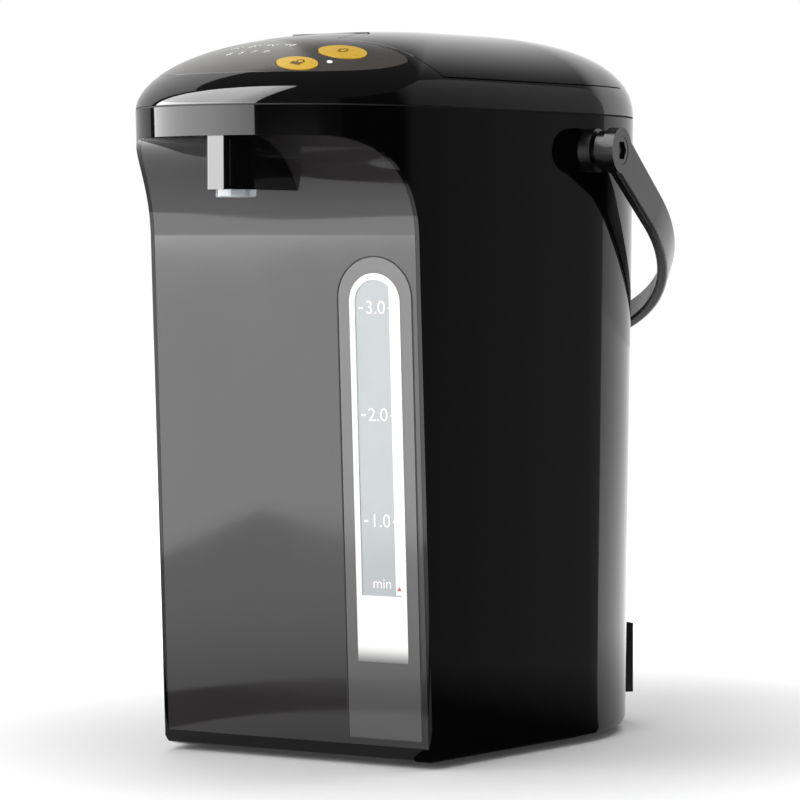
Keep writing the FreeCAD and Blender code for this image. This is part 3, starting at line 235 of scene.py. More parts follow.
# The head's own moulding takes a harder shine than the body's
HEAD_BLACK_ABS = Finish("head_black_abs", "#050505", 0.045, ior=1.7, grain_mm=3.0, grain_depth_mm=0.0008,
                        haze=0.02)
# Smoked acrylic over a grey backing: glossy and warm grey
SMOKED_ACRYLIC = Finish("smoked_acrylic", "#2d2b2c", 0.08, ior=1.49, grain_mm=4.0, grain_depth_mm=0.0006,
                        haze=0.03, haze_mm=60.0, tint=0.03)
# The gauge's own cover, a paler smoke, with painted shade that darkens it towards the bottom
PALE_SMOKE_ACRYLIC = Finish("pale_smoke_acrylic", "#656464", 0.09, ior=1.49, grain_mm=4.0,
                            grain_depth_mm=0.0006, haze_mm=60.0, tint=0.03, fade_to="#555455",
                            fade_z_mm=(20.0, 220.0))
# White ABS frame, back-printed so that its foot fades into the cover
WHITE_PRINTED_ABS = Finish("white_printed_abs", "#f4f4f2", 0.22, grain_mm=0.8, grain_depth_mm=0.001,
                           tint=0.01, fade_to="#707072", fade_z_mm=(48.0, 57.0))
# Frosted acrylic in front of the level tube, given the look of the tube behind it
FROSTED_ACRYLIC = Finish("frosted_acrylic", "#b2b7b9", 0.12, ior=1.49, grain_mm=1.0, grain_depth_mm=0.0008,
                         tint=0.03)
WHITE_INK = Finish("white_ink", "#f7f7f5", 0.35, grain_mm=0.3, grain_depth_mm=0.001, tint=0.01)
RED_INK = Finish("red_ink", "#c8444a", 0.35, grain_mm=0.3, grain_depth_mm=0.001)
DARK_INK = Finish("dark_ink", "#6b4a12", 0.4, grain_mm=0.3, grain_depth_mm=0.001)
PALE_INK = Finish("pale_ink", "#dddcd8", 0.35, grain_mm=0.3, grain_depth_mm=0.001)
# Printed polyester film on the head, satin
PRINTED_FILM = Finish("printed_film", "#4b4845", 0.16, ior=1.5, grain_mm=0.25, grain_depth_mm=0.002,
                      tint=0.04)
# Soft-gloss yellow keys
YELLOW_KEY_ABS = Finish("yellow_key_abs", "#dbb02c", 0.28, grain_mm=0.4, grain_depth_mm=0.003, tint=0.05)
CLEAR_STYRENE = Finish("clear_styrene", "#dfe5e8", 0.08, ior=1.58, transmission=0.55, grain_mm=1.2)
LAMP_LENS = Finish("lamp_lens", "#f2f4f6", 0.2, glow=0.35)
# Moulded nylon of the bail: satin with a fine grain
SATIN_NYLON = Finish("satin_nylon", "#0e0e0e", 0.24, ior=1.5, grain_mm=0.5, grain_depth_mm=0.004, haze=0.05)
MATTE_PP = Finish("matte_polypropylene", "#121212", 0.55, grain_mm=0.35, grain_depth_mm=0.012, haze=0.06)
GREY_PP = Finish("grey_polypropylene", "#a4a49e", 0.45, grain_mm=0.4, grain_depth_mm=0.008)
SOFT_RUBBER = Finish("soft_rubber", "#161616", 0.8, grain_mm=0.3, grain_depth_mm=0.02)
PALE_SILICONE = Finish("pale_silicone", "#c9c8c0", 0.5, grain_mm=0.5, grain_depth_mm=0.006)
# Drawn stainless steel, brushed round the pot: long fine scratches
BRUSHED_STEEL = Finish("brushed_steel", "#b9babb", 0.28, metallic=1.0, grain_mm=0.5, grain_depth_mm=0.004,
                       stretch=(0.06, 0.06, 1.0), haze=0.06)
# Fluorine-coated inner pot: dark grey, satin, faintly speckled
COATED_STEEL = Finish("coated_steel", "#5f6062", 0.38, metallic=0.6, grain_mm=0.7, grain_depth_mm=0.008,
                      tint=0.15)
ZINC_STEEL = Finish("zinc_plated_steel", "#9a9b98", 0.35, metallic=1.0, grain_mm=4.0, grain_depth_mm=0.004,
                    tint=0.15)
NICKEL_PIN = Finish("nickel_plated_pin", "#cfcac0", 0.15, metallic=1.0)
CAST_ALUMINIUM = Finish("cast_aluminium", "#8f9092", 0.5, metallic=1.0, grain_mm=0.8, grain_depth_mm=0.02)
WOUND_COPPER = Finish("wound_copper", "#b06a3c", 0.35, metallic=1.0, grain_mm=0.5, grain_depth_mm=0.05,
                      stretch=(1.0, 1.0, 8.0))
FELT = Finish("needled_felt", "#d3d1c8", 0.9, grain_mm=0.8, grain_depth_mm=0.3, tint=0.2, haze_mm=6.0)
SOLDER_MASK = Finish("solder_mask", "#0f4a27", 0.35, grain_mm=0.6, grain_depth_mm=0.01)


@dataclass(frozen=True)
class HeadShape:
    """The head's dome in millimetres, as a stack of pear outlines."""

    seam_z: float = 303.3
    rise: float = 40.8
    back_r: float = 101.0
    nose_r: float = 73.0
    nose_y: float = -135.0
    crest_y: float = -32.6
    nose_power: tuple[float, float] = (2.14, 1.76)
    side_power: tuple[float, float] = (2.90, 2.22)
    back_power: tuple[float, float] = (3.31, 2.47)
    top_level: float = 0.99999
    rim_level: float = 0.1
    halvings: int = 36
    level_step: tuple[float, float] = (1e-3, 1e-6)

    def distance(self, x: np.ndarray, y: np.ndarray, level: np.ndarray) -> np.ndarray:
        """Signed distance in plan from the outline at each level.

        Args:
            x: Places across.
            y: Places front to back.
            level: Shares of the rise, from 0 at the seam to 1 at the crown.

        Returns:
            Distances, positive outside.
        """

        def reach(power: tuple[float, float]) -> np.ndarray:
            """How much of its reach at the seam the dome still has at each level."""
            return (1 - np.clip(level, 0, 1) ** power[1]) ** (1 / power[0])

        half = self.back_r * reach(self.side_power)
        nose_r = self.nose_r / self.back_r * half
        back_y = self.crest_y + (self.back_r - self.crest_y) * reach(self.back_power) - half
        front = self.crest_y - (self.crest_y - self.nose_y + self.nose_r) * reach(self.nose_power)
        return pear_distance(x, y, half, back_y, nose_r, front + nose_r)

    def level(self, x: np.ndarray, y: np.ndarray) -> np.ndarray:
        """The level at which the dome stands over each place in plan."""
        low, high = np.zeros_like(x), np.full_like(x, self.top_level)
        for _ in range(self.halvings):
            middle = (low + high) / 2
            inside = self.distance(x, y, middle) < 0
            low, high = np.where(inside, middle, low), np.where(inside, high, middle)
        return (low + high) / 2

    def height(self, x: float, y: float) -> float:
        """Height of the dome at one place in plan, all in metres."""
        level = self.level(np.array([x / MM]), np.array([y / MM]))
        return float(self.seam_z + self.rise * level[0]) * MM

    def normals(self, points: np.ndarray) -> tuple[np.ndarray, np.ndarray]:
        """Outward directions of the dome at points in millimetres, and how far each point is from it."""
        x, y, z = points.T
        level = self.level(x, y)
        off_height = np.abs(z - self.seam_z - self.rise * level)
        own = np.clip((z - self.seam_z) / self.rise, 0, self.top_level)
        off_plan = np.abs(self.distance(x, y, own))
        at = np.where(level < self.rim_level, own, level)
        step, rise_step = SLOPE_STEP, self.level_step[0] * (1 - at) + self.level_step[1]
        dx = (self.distance(x + step, y, at) - self.distance(x - step, y, at)) / (2 * step)
        dy = (self.distance(x, y + step, at) - self.distance(x, y - step, at)) / (2 * step)
        up, down = np.clip(at + rise_step, 0, 1), np.clip(at - rise_step, 0, 1)
        dz = (self.distance(x, y, up) - self.distance(x, y, down)) / ((up - down) * self.rise)
        found = np.stack([dx, dy, dz], axis=1)
        return found / np.linalg.norm(found, axis=1, keepdims=True), np.minimum(off_height, off_plan)


@dataclass(frozen=True)
class BodyShape:
    """The tapered walls below the seam, and the leaning front with its cove, in millimetres."""

    foot_z: float = 3.0
    seam_z: float = 303.3
    foot_back_r: float = 97.9
    back_r: float = 101.0
    nose_r: float = 73.0
    foot_nose_y: float = -123.0
    nose_y: float = -135.0
    face_y: float = -132.8
    face_lean: float = 12.4
    face_height: float = 240.0
    beak_z: float = 290.0
    cove_r: float = 47.0

    def distance(self, x: np.ndarray, y: np.ndarray, z: np.ndarray) -> np.ndarray:
        """Signed distance in plan from the walls at each height.

        Args:
            x: Places across.
            y: Places front to back.
            z: Heights.

        Returns:
            Distances, positive outside.
        """
        rise = (z - self.foot_z) / (self.seam_z - self.foot_z)
        back_r = self.foot_back_r + (self.back_r - self.foot_back_r) * rise
        nose_y = self.foot_nose_y + (self.nose_y - self.foot_nose_y) * rise
        return pear_distance(x, y, back_r, np.zeros_like(z), np.full_like(z, self.nose_r), nose_y)

    def normals(self, points: np.ndarray) -> tuple[np.ndarray, np.ndarray]:
        """Outward directions of the walls at points in millimetres, and how far each point is from them."""
        x, y, z = points.T
        step = SLOPE_STEP
        slopes = [(self.distance(x + a, y + b, z + c) - self.distance(x - a, y - b, z - c)) / (2 * step)
                  for a, b, c in ((step, 0, 0), (0, step, 0), (0, 0, step))]
        found = np.stack(slopes, axis=1)
        return found / np.linalg.norm(found, axis=1, keepdims=True), np.abs(self.distance(x, y, z))

    def front_normals(self, points: np.ndarray) -> tuple[np.ndarray, np.ndarray]:
        """Outward directions of the front face and its cove, with a distance of zero everywhere."""
        up = Vector((-self.face_lean, self.face_height)).normalized()
        centre_z = self.beak_z - self.cove_r
        centre_y = self.face_y + (centre_z - self.foot_z) * up.x / up.y - self.cove_r / up.y
        y, z = points[:, 1], points[:, 2]
        inward = np.stack([centre_y - y, centre_z - z], axis=1)
        inward /= np.maximum(np.linalg.norm(inward, axis=1, keepdims=True), 1e-9)
        along = (y - centre_y) * up.x + (z - centre_z) * up.y
        face = np.tile([-up.y, up.x], (len(y), 1))
        under = np.tile([0.0, -1.0], (len(y), 1))
        found = np.where((along < 0)[:, None], face, np.where((y < centre_y)[:, None], under, inward))
        return np.concatenate([np.zeros((len(y), 1)), found], axis=1), np.zeros(len(y))


def pear_distance(x: np.ndarray, y: np.ndarray, back_r: np.ndarray, back_y: np.ndarray,
                  nose_r: np.ndarray, nose_y: np.ndarray) -> np.ndarray:
    """Signed distance from two circles and the walls that join them.

    Args:
        x: Places across.
        y: Places front to back.
        back_r: Radius of the back circle.
        back_y: Middle of the back circle.
        nose_r: Radius of the nose circle.
        nose_y: Middle of the nose circle.

    Returns:
        Distances, positive outside.
    """
    across, ahead = np.abs(x), back_y - y
    length = back_y - nose_y
    lean = (back_r - nose_r) / length
    out = np.sqrt(1 - lean * lean)
    side = out * ahead - lean * across
    back = np.hypot(across, ahead) - back_r
    nose = np.hypot(across, ahead - length) - nose_r
    wall = out * across + lean * ahead - back_r
    return np.where(side < 0, back, np.where(side > out * length, nose, wall))


HEAD = HeadShape()
WALLS = BodyShape()
DOME = (HEAD.normals,)
FACE = (WALLS.front_normals,)


def put(shape: bmesh.types.BMesh, name: str, finish: Finish, body: Body) -> bpy.types.Object:
    """Make a new piece out of a bmesh.

    Args:
        shape: The bmesh, which is freed.
        name: The piece's name.
        finish: Its finish.
        body: The body that it rides on.

    Returns:
        The piece.
    """
    piece = link_object(shape, name)
    piece.data.materials.append(finish.material())
    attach(piece, body.value)
    LOG.info("piece %s on %s", name, body.value)
    return piece


@dataclass(frozen=True)
class Dress:
    """How one CAD node is shown: a smooth copy with its finish."""

    node: str
    name: str
    finish: Finish
    fields: tuple[NormalField, ...] = ()
    crease_deg: float = 28.0
    merge: float = 2e-6
    least_edge: float = 1e-6
    least_match: float = 0.9
    most_off_mm: float = 1.2

    def make(self, frame: dict) -> bpy.types.Object:
        """Copy the node, merge its triangles, shade it smooth and put it in the node's place.


        Returns:
            The new piece.
        """
        source = frame["nodes"][self.node]
        shape = bmesh.new()
        shape.from_mesh(source.data)
        bmesh.ops.remove_doubles(shape, verts=shape.verts, dist=self.merge)
        bmesh.ops.dissolve_degenerate(shape, edges=shape.edges, dist=self.least_edge)
        for face in shape.faces:
            face.smooth = True
            face.material_index = 0
        limit = math.radians(self.crease_deg)
        for edge in shape.edges:
            edge.smooth = len(edge.link_faces) == 2 and edge.calc_face_angle(0.0) < limit
        piece = put(shape, self.name, self.finish, Body(source["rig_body"]))
        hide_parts(self.node)
        if self.fields:
            self.turn_normals(piece.data)
        else:
            weigh = piece.modifiers.new("weighted", "WEIGHTED_NORMAL")
            weigh.weight = 100
            weigh.keep_sharp = True
        return piece

    def turn_normals(self, mesh: bpy.types.Mesh) -> None:
        """Give each corner that lies on a known surface that surface's own direction."""
        count = len(mesh.loops)
        corner = np.zeros(count, np.int32)
        mesh.loops.foreach_get("vertex_index", corner)
        places = np.zeros(len(mesh.vertices) * 3, np.float32)
        mesh.vertices.foreach_get("co", places)
        places = places.reshape(-1, 3).astype(float) / MM
        facing = np.zeros(len(mesh.polygons) * 3, np.float32)
        mesh.polygons.foreach_get("normal", facing)
        sizes = np.zeros(len(mesh.polygons), np.int32)
        mesh.polygons.foreach_get("loop_total", sizes)
        facing = np.repeat(facing.reshape(-1, 3), sizes, axis=0)
        turned = np.zeros((count, 3))
        for surface in self.fields:
            wanted, off = surface(places)
            match = np.einsum("ij,ij->i", wanted[corner], facing)
            fits = (match > self.least_match) & (off[corner] < self.most_off_mm)
            turned[fits] = wanted[corner][fits]
        mesh.normals_split_custom_set(turned.tolist())


def text_mesh(words: str, height: float, thick: float) -> bmesh.types.BMesh:
    """Plain figures as a thin solid in the XY plane, centred on the origin.

    Args:
        words: The figures.
        height: Height of a capital, in metres.
        thick: Thickness, in metres.

    Returns:
        A bmesh.
    """
    curve = bpy.data.curves.new("figures", "FONT")
    curve.body = words
    curve.size = height / CAPITAL_SHARE
    curve.extrude = thick / 2
    curve.align_x = "CENTER"
    curve.align_y = "CENTER"
    carrier = bpy.data.objects.new("figures", curve)
    bpy.context.scene.collection.objects.link(carrier)
    bpy.context.view_layer.update()
    mesh = bpy.data.meshes.new_from_object(carrier)
    shape = bmesh.new()
    shape.from_mesh(mesh)
    bpy.data.objects.remove(carrier)
    bpy.data.meshes.remove(mesh)
    bpy.data.curves.remove(curve)
    return shape


def join(target: bmesh.types.BMesh, extra: bmesh.types.BMesh) -> None:
    """Add one bmesh's shape to another and free it."""
    mesh = bpy.data.meshes.new("passing")
    extra.to_mesh(mesh)
    extra.free()
    target.from_mesh(mesh)
    bpy.data.meshes.remove(mesh)


def slab(x: tuple[float, float], y: tuple[float, float], z: tuple[float, float]) -> bmesh.types.BMesh:
    """A box between two corners.

    Args:
        x: Its left and right, in metres.
        y: Its front and back.
        z: Its bottom and top.

    Returns:
        A bmesh.
    """
    shape = bmesh.new()
    bmesh.ops.create_cube(shape, size=1.0)
    size = Vector((x[1] - x[0], y[1] - y[0], z[1] - z[0]))
    bmesh.ops.scale(shape, vec=size, verts=shape.verts)
    middle = Vector(((x[0] + x[1]) / 2, (y[0] + y[1]) / 2, (z[0] + z[1]) / 2))
    bmesh.ops.translate(shape, vec=middle, verts=shape.verts)
    return shape


def plate(wide: float, tall: float, thick: float) -> bmesh.types.BMesh:
    """A thin box in the XY plane round the origin.

    Args:
        wide: Its size along X, in metres.
        tall: Its size along Y.
        thick: Its size along Z.

    Returns:
        A bmesh.
    """
    return slab((-wide / 2, wide / 2), (-tall / 2, tall / 2), (-thick / 2, thick / 2))


def lay_on_dome(shape: bmesh.types.BMesh, lift: float) -> None:
    """Drop a flat thin shape onto the dome, keeping its thickness."""
    for vert in shape.verts:
        vert.co.z += HEAD.height(vert.co.x, vert.co.y) + lift


def lean_to_face(shape: bmesh.types.BMesh, x: float, z: float, proud: float) -> None:
    """Stand a flat shape up on the front face.

    Args:
        shape: A shape in the XY plane, thin along Z.
        x: Where its middle goes across.
        z: Where its middle goes up.
        proud: How far its middle stands out of the face.
    """
    tilt = math.atan2(WALLS.face_lean, WALLS.face_height)
    y = (WALLS.face_y - (z / MM - WALLS.foot_z) * WALLS.face_lean / WALLS.face_height) * MM
    turn = Matrix.Rotation(math.pi / 2 + tilt, 4, "X")
    bmesh.ops.transform(shape, matrix=Matrix.Translation((x, y - proud, z)) @ turn, verts=shape.verts)


@dataclass
class Shell:
    """The black body, its smoked front panel and the inlet at the back."""

    joint_inset: tuple[float, float] = (0.0003, 0.0006)
    joint_z: tuple[float, float] = (0.3018, 0.3040)

    def build(self, frame: dict) -> None:
        """Dress the body's nodes."""
        Dress("outer_shell", "body_shell", PIANO_BLACK_ABS, (WALLS.normals,)).make(frame)
        Dress("front_panel", "smoked_front", SMOKED_ACRYLIC, FACE).make(frame)
        Dress("inlet_housing", "lead_socket", MATTE_PP).make(frame)
        Dress("inlet_pins", "lead_pins", NICKEL_PIN).make(frame)
        self.build_seam()

    def build_seam(self) -> None:
        """The dark joint between the body and the head, set back from both."""
        shape = bmesh.new()
        (near, deep), (bottom, top) = self.joint_inset, self.joint_z
        rings = [[shape.verts.new((x, y, z)) for x, y in outline(inset)]
                 for inset, z in ((near, bottom), (near, top), (deep, top), (deep, bottom))]
        for low, high in zip(rings, rings[1:] + rings[:1]):
            for i in range(len(low)):
                j = (i + 1) % len(low)
                shape.faces.new((low[i], low[j], high[j], high[i]))
        put(shape, "seam_joint", SOFT_RUBBER, Body.POT)


def outline(inset: float, step_deg: int = 3) -> list[tuple[float, float]]:
    """The body's plan outline at the seam, in metres.

    Args:
        inset: How far inside the wall it runs.
        step_deg: Angle between its points.

    Returns:
        Places in plan, all the way round.
    """
    lean = math.degrees(math.acos((WALLS.back_r - WALLS.nose_r) / -WALLS.nose_y))
    places = []
    for turn in range(-180, 180, step_deg):
        nose = abs(turn) < lean
        radius = (WALLS.nose_r if nose else WALLS.back_r) * MM - inset
        middle = WALLS.nose_y * MM if nose else 0.0
        places.append((radius * math.sin(math.radians(turn)), middle - radius * math.cos(math.radians(turn))))
    return places


@dataclass
class Gauge:
    """The level gauge: cover, frame, window and its printed marks."""

    middle_x: float = 0.048
    marks: tuple[tuple[str, float], ...] = (("3.0", 0.2124), ("2.0", 0.1632), ("1.0", 0.1144))
    low_mark: tuple[str, float] = ("min", 0.0855)
    figure_height: float = 0.0061
    figure_x: float = 0.0003
    tick_x: float = 0.0076
    tick: tuple[float, float] = (0.0023, 0.0009)
    ink: float = 0.0001
    cover_z: tuple[float, float] = (0.0130, 0.2359)
    cover_half: float = 0.0193
    joint: float = 0.0005
    joint_proud: float = 0.00008
    arc_steps: int = 32
    strip_x: tuple[float, float] = (0.0074, 0.0100)
    strip_z: tuple[float, float] = (0.0805, 0.2225)
    strip_proud: float = -0.00012
    marks_proud: float = -0.00006
    low_share: float = 0.78
    red_radius: float = 0.0014
    red_x: float = 0.0092
    red_z: float = 0.0832
    red_proud: float = -0.00004

    def build(self, frame: dict) -> None:
        """Dress the gauge's nodes and print its marks."""
        Dress("gauge_cover", "gauge_cover_strip", PALE_SMOKE_ACRYLIC, FACE).make(frame)
        Dress("gauge_frame", "gauge_white_frame", WHITE_PRINTED_ABS, FACE).make(frame)
        Dress("gauge_window", "gauge_clear_window", FROSTED_ACRYLIC, FACE).make(frame)
        self.build_joint()
        self.build_strip()
        self.build_marks()

    def build_joint(self) -> None:
        """The dark line where the cover meets the panel."""
        shape = bmesh.new()
        low, high = self.cover_z
        middle = (low + high) / 2
        rows = []
        for half in (self.cover_half, self.cover_half + self.joint):
            turns = [math.pi * i / self.arc_steps for i in range(self.arc_steps + 1)]
            places = [(half * math.cos(t), high - self.cover_half + half * math.sin(t)) for t in turns]
            places = [(half, low - half + self.cover_half), *places, (-half, low - half + self.cover_half)]
            rows.append([shape.verts.new((x, z - middle, 0.0)) for x, z in places])
        for i in range(len(rows[0])):
            j = (i + 1) % len(rows[0])
            shape.faces.new((rows[0][i], rows[1][i], rows[1][j], rows[0][j]))
        bmesh.ops.recalc_face_normals(shape, faces=shape.faces)
        bmesh.ops.solidify(shape, geom=shape.faces[:], thickness=self.ink)
        lean_to_face(shape, self.middle_x, middle, self.joint_proud)
        put(shape, "gauge_cover_joint", SOFT_RUBBER, Body.POT)

    def build_strip(self) -> None:
        """The white strip down the right of the window."""
        low, high = self.strip_z
        strip = plate(self.strip_x[1] - self.strip_x[0], high - low, self.ink)
        lean_to_face(strip, self.middle_x + sum(self.strip_x) / 2, (low + high) / 2, self.strip_proud)
        put(strip, "gauge_strip", WHITE_INK, Body.POT)

    def build_marks(self) -> None:
        """Figures with a tick each side, the low mark's word, and a red triangle beside it."""
        shape = bmesh.new()
        x = self.middle_x + self.figure_x
        for words, z in self.marks:
            self.add_part(shape, text_mesh(words, self.figure_height, self.ink), x, z)
            for side in (-1, 1):
                self.add_part(shape, plate(*self.tick, self.ink), x + side * self.tick_x, z)
        words, z = self.low_mark
        self.add_part(shape, text_mesh(words, self.figure_height * self.low_share, self.ink), x, z)
        put(shape, "gauge_marks", WHITE_INK, Body.POT)
        red = bmesh.new()
        bmesh.ops.create_cone(red, cap_ends=True, segments=3, radius1=self.red_radius,
                              radius2=self.red_radius, depth=self.ink)
        lean_to_face(red, self.middle_x + self.red_x, self.red_z, self.red_proud)
        put(red, "gauge_low_mark", RED_INK, Body.POT)

    def add_part(self, shape: bmesh.types.BMesh, part: bmesh.types.BMesh, x: float, z: float) -> None:
        """Stand one printed part on the face and add it to the rest.

        Args:
            shape: What it is added to.
            part: The part, flat and round the origin, which is freed.
            x: Where it goes across.
            z: Where it goes up.
        """
        lean_to_face(part, x, z, self.marks_proud)
        join(shape, part)


@dataclass
class Spout:
    """The spout block under the beak, with its ribs and clear tip."""

    prow: tuple[float, float] = (0.0044, -0.2035)
    shoulder: tuple[float, float] = (0.012, -0.190)
    rib_shares: tuple[float, ...] = (0.2, 0.35, 0.5, 0.65, 0.8)
    rib: tuple[float, float] = (0.0007, 0.0005)
    rib_z: tuple[float, float] = (0.2675, 0.2885)
    rib_edge: float = 0.0002

    def build(self, frame: dict) -> None:
        """Dress the spout's nodes and add the ribs."""
        Dress("spout_cover", "spout_block", HEAD_BLACK_ABS).make(frame)
        Dress("spout_nozzle", "spout_tip", CLEAR_STYRENE).make(frame)
        shape = bmesh.new()
        start, end = Vector(self.prow), Vector(self.shoulder)
        turn = math.atan2(end.y - start.y, end.x - start.x)
        wide, deep = self.rib
        for side in (-1, 1):
            for share in self.rib_shares:
                spot = start.lerp(end, share)
                part = slab((-wide / 2, wide / 2), (-deep, deep), self.rib_z)
                bmesh.ops.bevel(part, geom=part.edges, offset=self.rib_edge, affect="EDGES", segments=2,
                                profile=0.5, material=-1)
                place = Matrix.Translation((side * spot.x, spot.y, 0.0))
                place = place @ Matrix.Rotation(side * turn, 4, "Z")
                bmesh.ops.transform(part, matrix=place, verts=part.verts)
                join(shape, part)
        put(shape, "spout_ribs", PIANO_BLACK_ABS, Body.POT)


@dataclass
class Head:
    """The fixed head: housing, printed plate, keys and lamp."""

    rows: tuple[tuple[str, float], ...] = (("70  80  90  98", -0.1515), ("3  5  7  9", -0.1655))
    figure_x: float = -0.006
    figure_height: float = 0.0042
    ink: float = 0.0001
    figure_lift: float = 0.00005
    sign_lift: float = 0.0005
    drop_at: tuple[float, float] = (0.0373, -0.1545)
    drop_radius: float = 0.0021
    drop_stretch: float = 1.9
    drop_line: float = 0.0007
    drop_steps: int = 24
    lock_at: tuple[float, float] = (0.0272, -0.1785)
    lock_x: tuple[float, float] = (-0.0024, 0.0024)
    lock_y: tuple[float, float] = (-0.0020, 0.0006)
    arch_at: tuple[float, float] = (0.0010, 0.0020)
    arch_radius: float = 0.0019
    arch_line: float = 0.0006
    arch_steps: int = 20

    def build(self, frame: dict) -> None:
        """Dress the head's nodes and print its plate."""
        Dress("top_housing", "head_shell", HEAD_BLACK_ABS, DOME).make(frame)
        Dress("control_plate", "control_film", PRINTED_FILM, DOME).make(frame)
        Dress("dispense_button", "dispense_key", YELLOW_KEY_ABS, DOME).make(frame)
        Dress("unlock_button", "unlock_key", YELLOW_KEY_ABS, DOME).make(frame)
        Dress("indicator_lens", "ready_lamp", LAMP_LENS, DOME).make(frame)
        self.build_figures()
        self.build_signs()

    def build_figures(self) -> None:
        """Two rows of plain numbers."""
        shape = bmesh.new()
        for words, y in self.rows:
            figures = text_mesh(words, self.figure_height, self.ink)
            bmesh.ops.translate(figures, vec=Vector((self.figure_x, y, 0.0)), verts=figures.verts)
            join(shape, figures)
        lay_on_dome(shape, self.figure_lift)
        put(shape, "plate_figures", PALE_INK, Body.POT)

    def build_signs(self) -> None:
        """A drop on the large key and an open lock on the small one."""
        drop = self.loop(self.drop_radius, self.drop_steps, self.drop_line, self.drop_stretch)
        bmesh.ops.translate(drop, vec=Vector((*self.drop_at, 0.0)), verts=drop.verts)
        lay_on_dome(drop, self.sign_lift)
        put(drop, "dispense_sign", DARK_INK, Body.DISPENSE)
        lock = slab(self.lock_x, self.lock_y, (-self.ink / 2, self.ink / 2))
        arch = self.loop(self.arch_radius, self.arch_steps, self.arch_line)
        bmesh.ops.translate(arch, vec=Vector((*self.arch_at, 0.0)), verts=arch.verts)
        join(lock, arch)
        bmesh.ops.translate(lock, vec=Vector((*self.lock_at, 0.0)), verts=lock.verts)
        lay_on_dome(lock, self.sign_lift)
        put(lock, "unlock_sign", DARK_INK, Body.UNLOCK)

    def loop(self, radius: float, steps: int, wide: float, stretch: float = 1.0) -> bmesh.types.BMesh:
        """A flat closed line round the origin, as thick as the ink.

        Args:
            radius: Its outer radius.
            steps: Number of its corners.
            wide: Its width.
            stretch: How much farther it reaches at the back than at the front.

        Returns:
            A bmesh.
        """
        shape = bmesh.new()
        turns = [math.tau * i / steps for i in range(steps)]
        places = [(radius * math.sin(t), -radius * math.cos(t) * (1.0 if math.cos(t) > 0 else stretch))
                  for t in turns]
        outer = [shape.verts.new((x, y, 0.0)) for x, y in places]
        inner = [shape.verts.new((x * (1 - wide / math.hypot(x, y)), y * (1 - wide / math.hypot(x, y)), 0.0))
                 for x, y in places]
        for i in range(len(places)):
            j = (i + 1) % len(places)
            shape.faces.new((outer[i], outer[j], inner[j], inner[i]))
        bmesh.ops.solidify(shape, geom=shape.faces[:], thickness=self.ink)
        return shape


@dataclass(frozen=True)
class Group:
    """Nodes that need only a finish and smooth shading."""

    rows: tuple[Dress, ...]

    def build(self, frame: dict) -> None:
        """Dress each node."""
        for row in self.rows:
            row.make(frame)


# The lid with its lever and steam vent, and the hinge and mouth that it closes on
LID = Group((
    Dress("lid_cover", "lid_shell", HEAD_BLACK_ABS, DOME),
    Dress("lid_lever", "lid_catch_lever", HEAD_BLACK_ABS, DOME),
    Dress("steam_vent", "lid_vent_grid", HEAD_BLACK_ABS, DOME),
    Dress("lid_base", "lid_lining", MATTE_PP),
    Dress("lid_plug", "lid_inner_cup", BRUSHED_STEEL),
    Dress("lid_gasket", "lid_seal", PALE_SILICONE),
    Dress("steam_tube", "steam_duct", GREY_PP),
    Dress("hinge_block", "hinge_knuckle", HEAD_BLACK_ABS, DOME),
    Dress("hinge_pin", "hinge_rod", BRUSHED_STEEL),
    Dress("mouth_ring", "mouth_collar", MATTE_PP),
    Dress("inner_vessel", "inner_pot", COATED_STEEL),
    Dress("vessel_seal", "inner_pot_seal", PALE_SILICONE),
))
# The bail and what it turns on
HANDLE = Group((
    Dress("handle_bail", "bail_strap", SATIN_NYLON, crease_deg=40.0),
    Dress("handle_bosses", "bail_bosses", SATIN_NYLON),
    Dress("handle_screws", "bail_screws", SATIN_NYLON),
))
# The base and the swivel
UNDERSIDE = Group((
    Dress("base_plate", "base_tray", MATTE_PP),
    Dress("base_screws", "base_fixings", ZINC_STEEL),
    Dress("swivel_disc", "turntable", MATTE_PP),
    Dress("swivel_retainer", "turntable_retainer", MATTE_PP),
    Dress("foot_ring", "foot_pad_ring", SOFT_RUBBER),
))


@dataclass
class Inside:
    """Nodes that no view of the closed pot shows, and keep their CAD shape."""

    finishes: dict[str, Finish] = field(default_factory=lambda: {
        "gauge_reflector": WHITE_PRINTED_ABS, "level_tube": CLEAR_STYRENE, "tube_joints": PALE_SILICONE,
        "outlet_pipe": BRUSHED_STEEL, "insulation_jacket": FELT, "band_heater": CAST_ALUMINIUM,
        "heater_plate": CAST_ALUMINIUM, "thermostat": GREY_PP, "temperature_sensor": BRUSHED_STEEL,
        "thermal_fuse": GREY_PP, "support_skirt": ZINC_STEEL, "motor_bracket": ZINC_STEEL,
        "motor_case": ZINC_STEEL, "motor_stator": WOUND_COPPER, "motor_rotor": MATTE_PP,
        "pump_bracket": ZINC_STEEL, "motor_shaft": BRUSHED_STEEL, "pump_housing": GREY_PP,
        "pump_cover": GREY_PP, "pump_impeller": GREY_PP, "pump_hoses": PALE_SILICONE,
        "swivel_glides": GREY_PP, "power_board": SOLDER_MASK, "dispense_spring": BRUSHED_STEEL,
        "unlock_spring": BRUSHED_STEEL, "control_board": SOLDER_MASK})

    def build(self, frame: dict) -> None:
        """Give each node its finish."""
        for node, finish in self.finishes.items():
            shown = frame["nodes"][node]
            shown.data.materials.clear()
            shown.data.materials.append(finish.material())


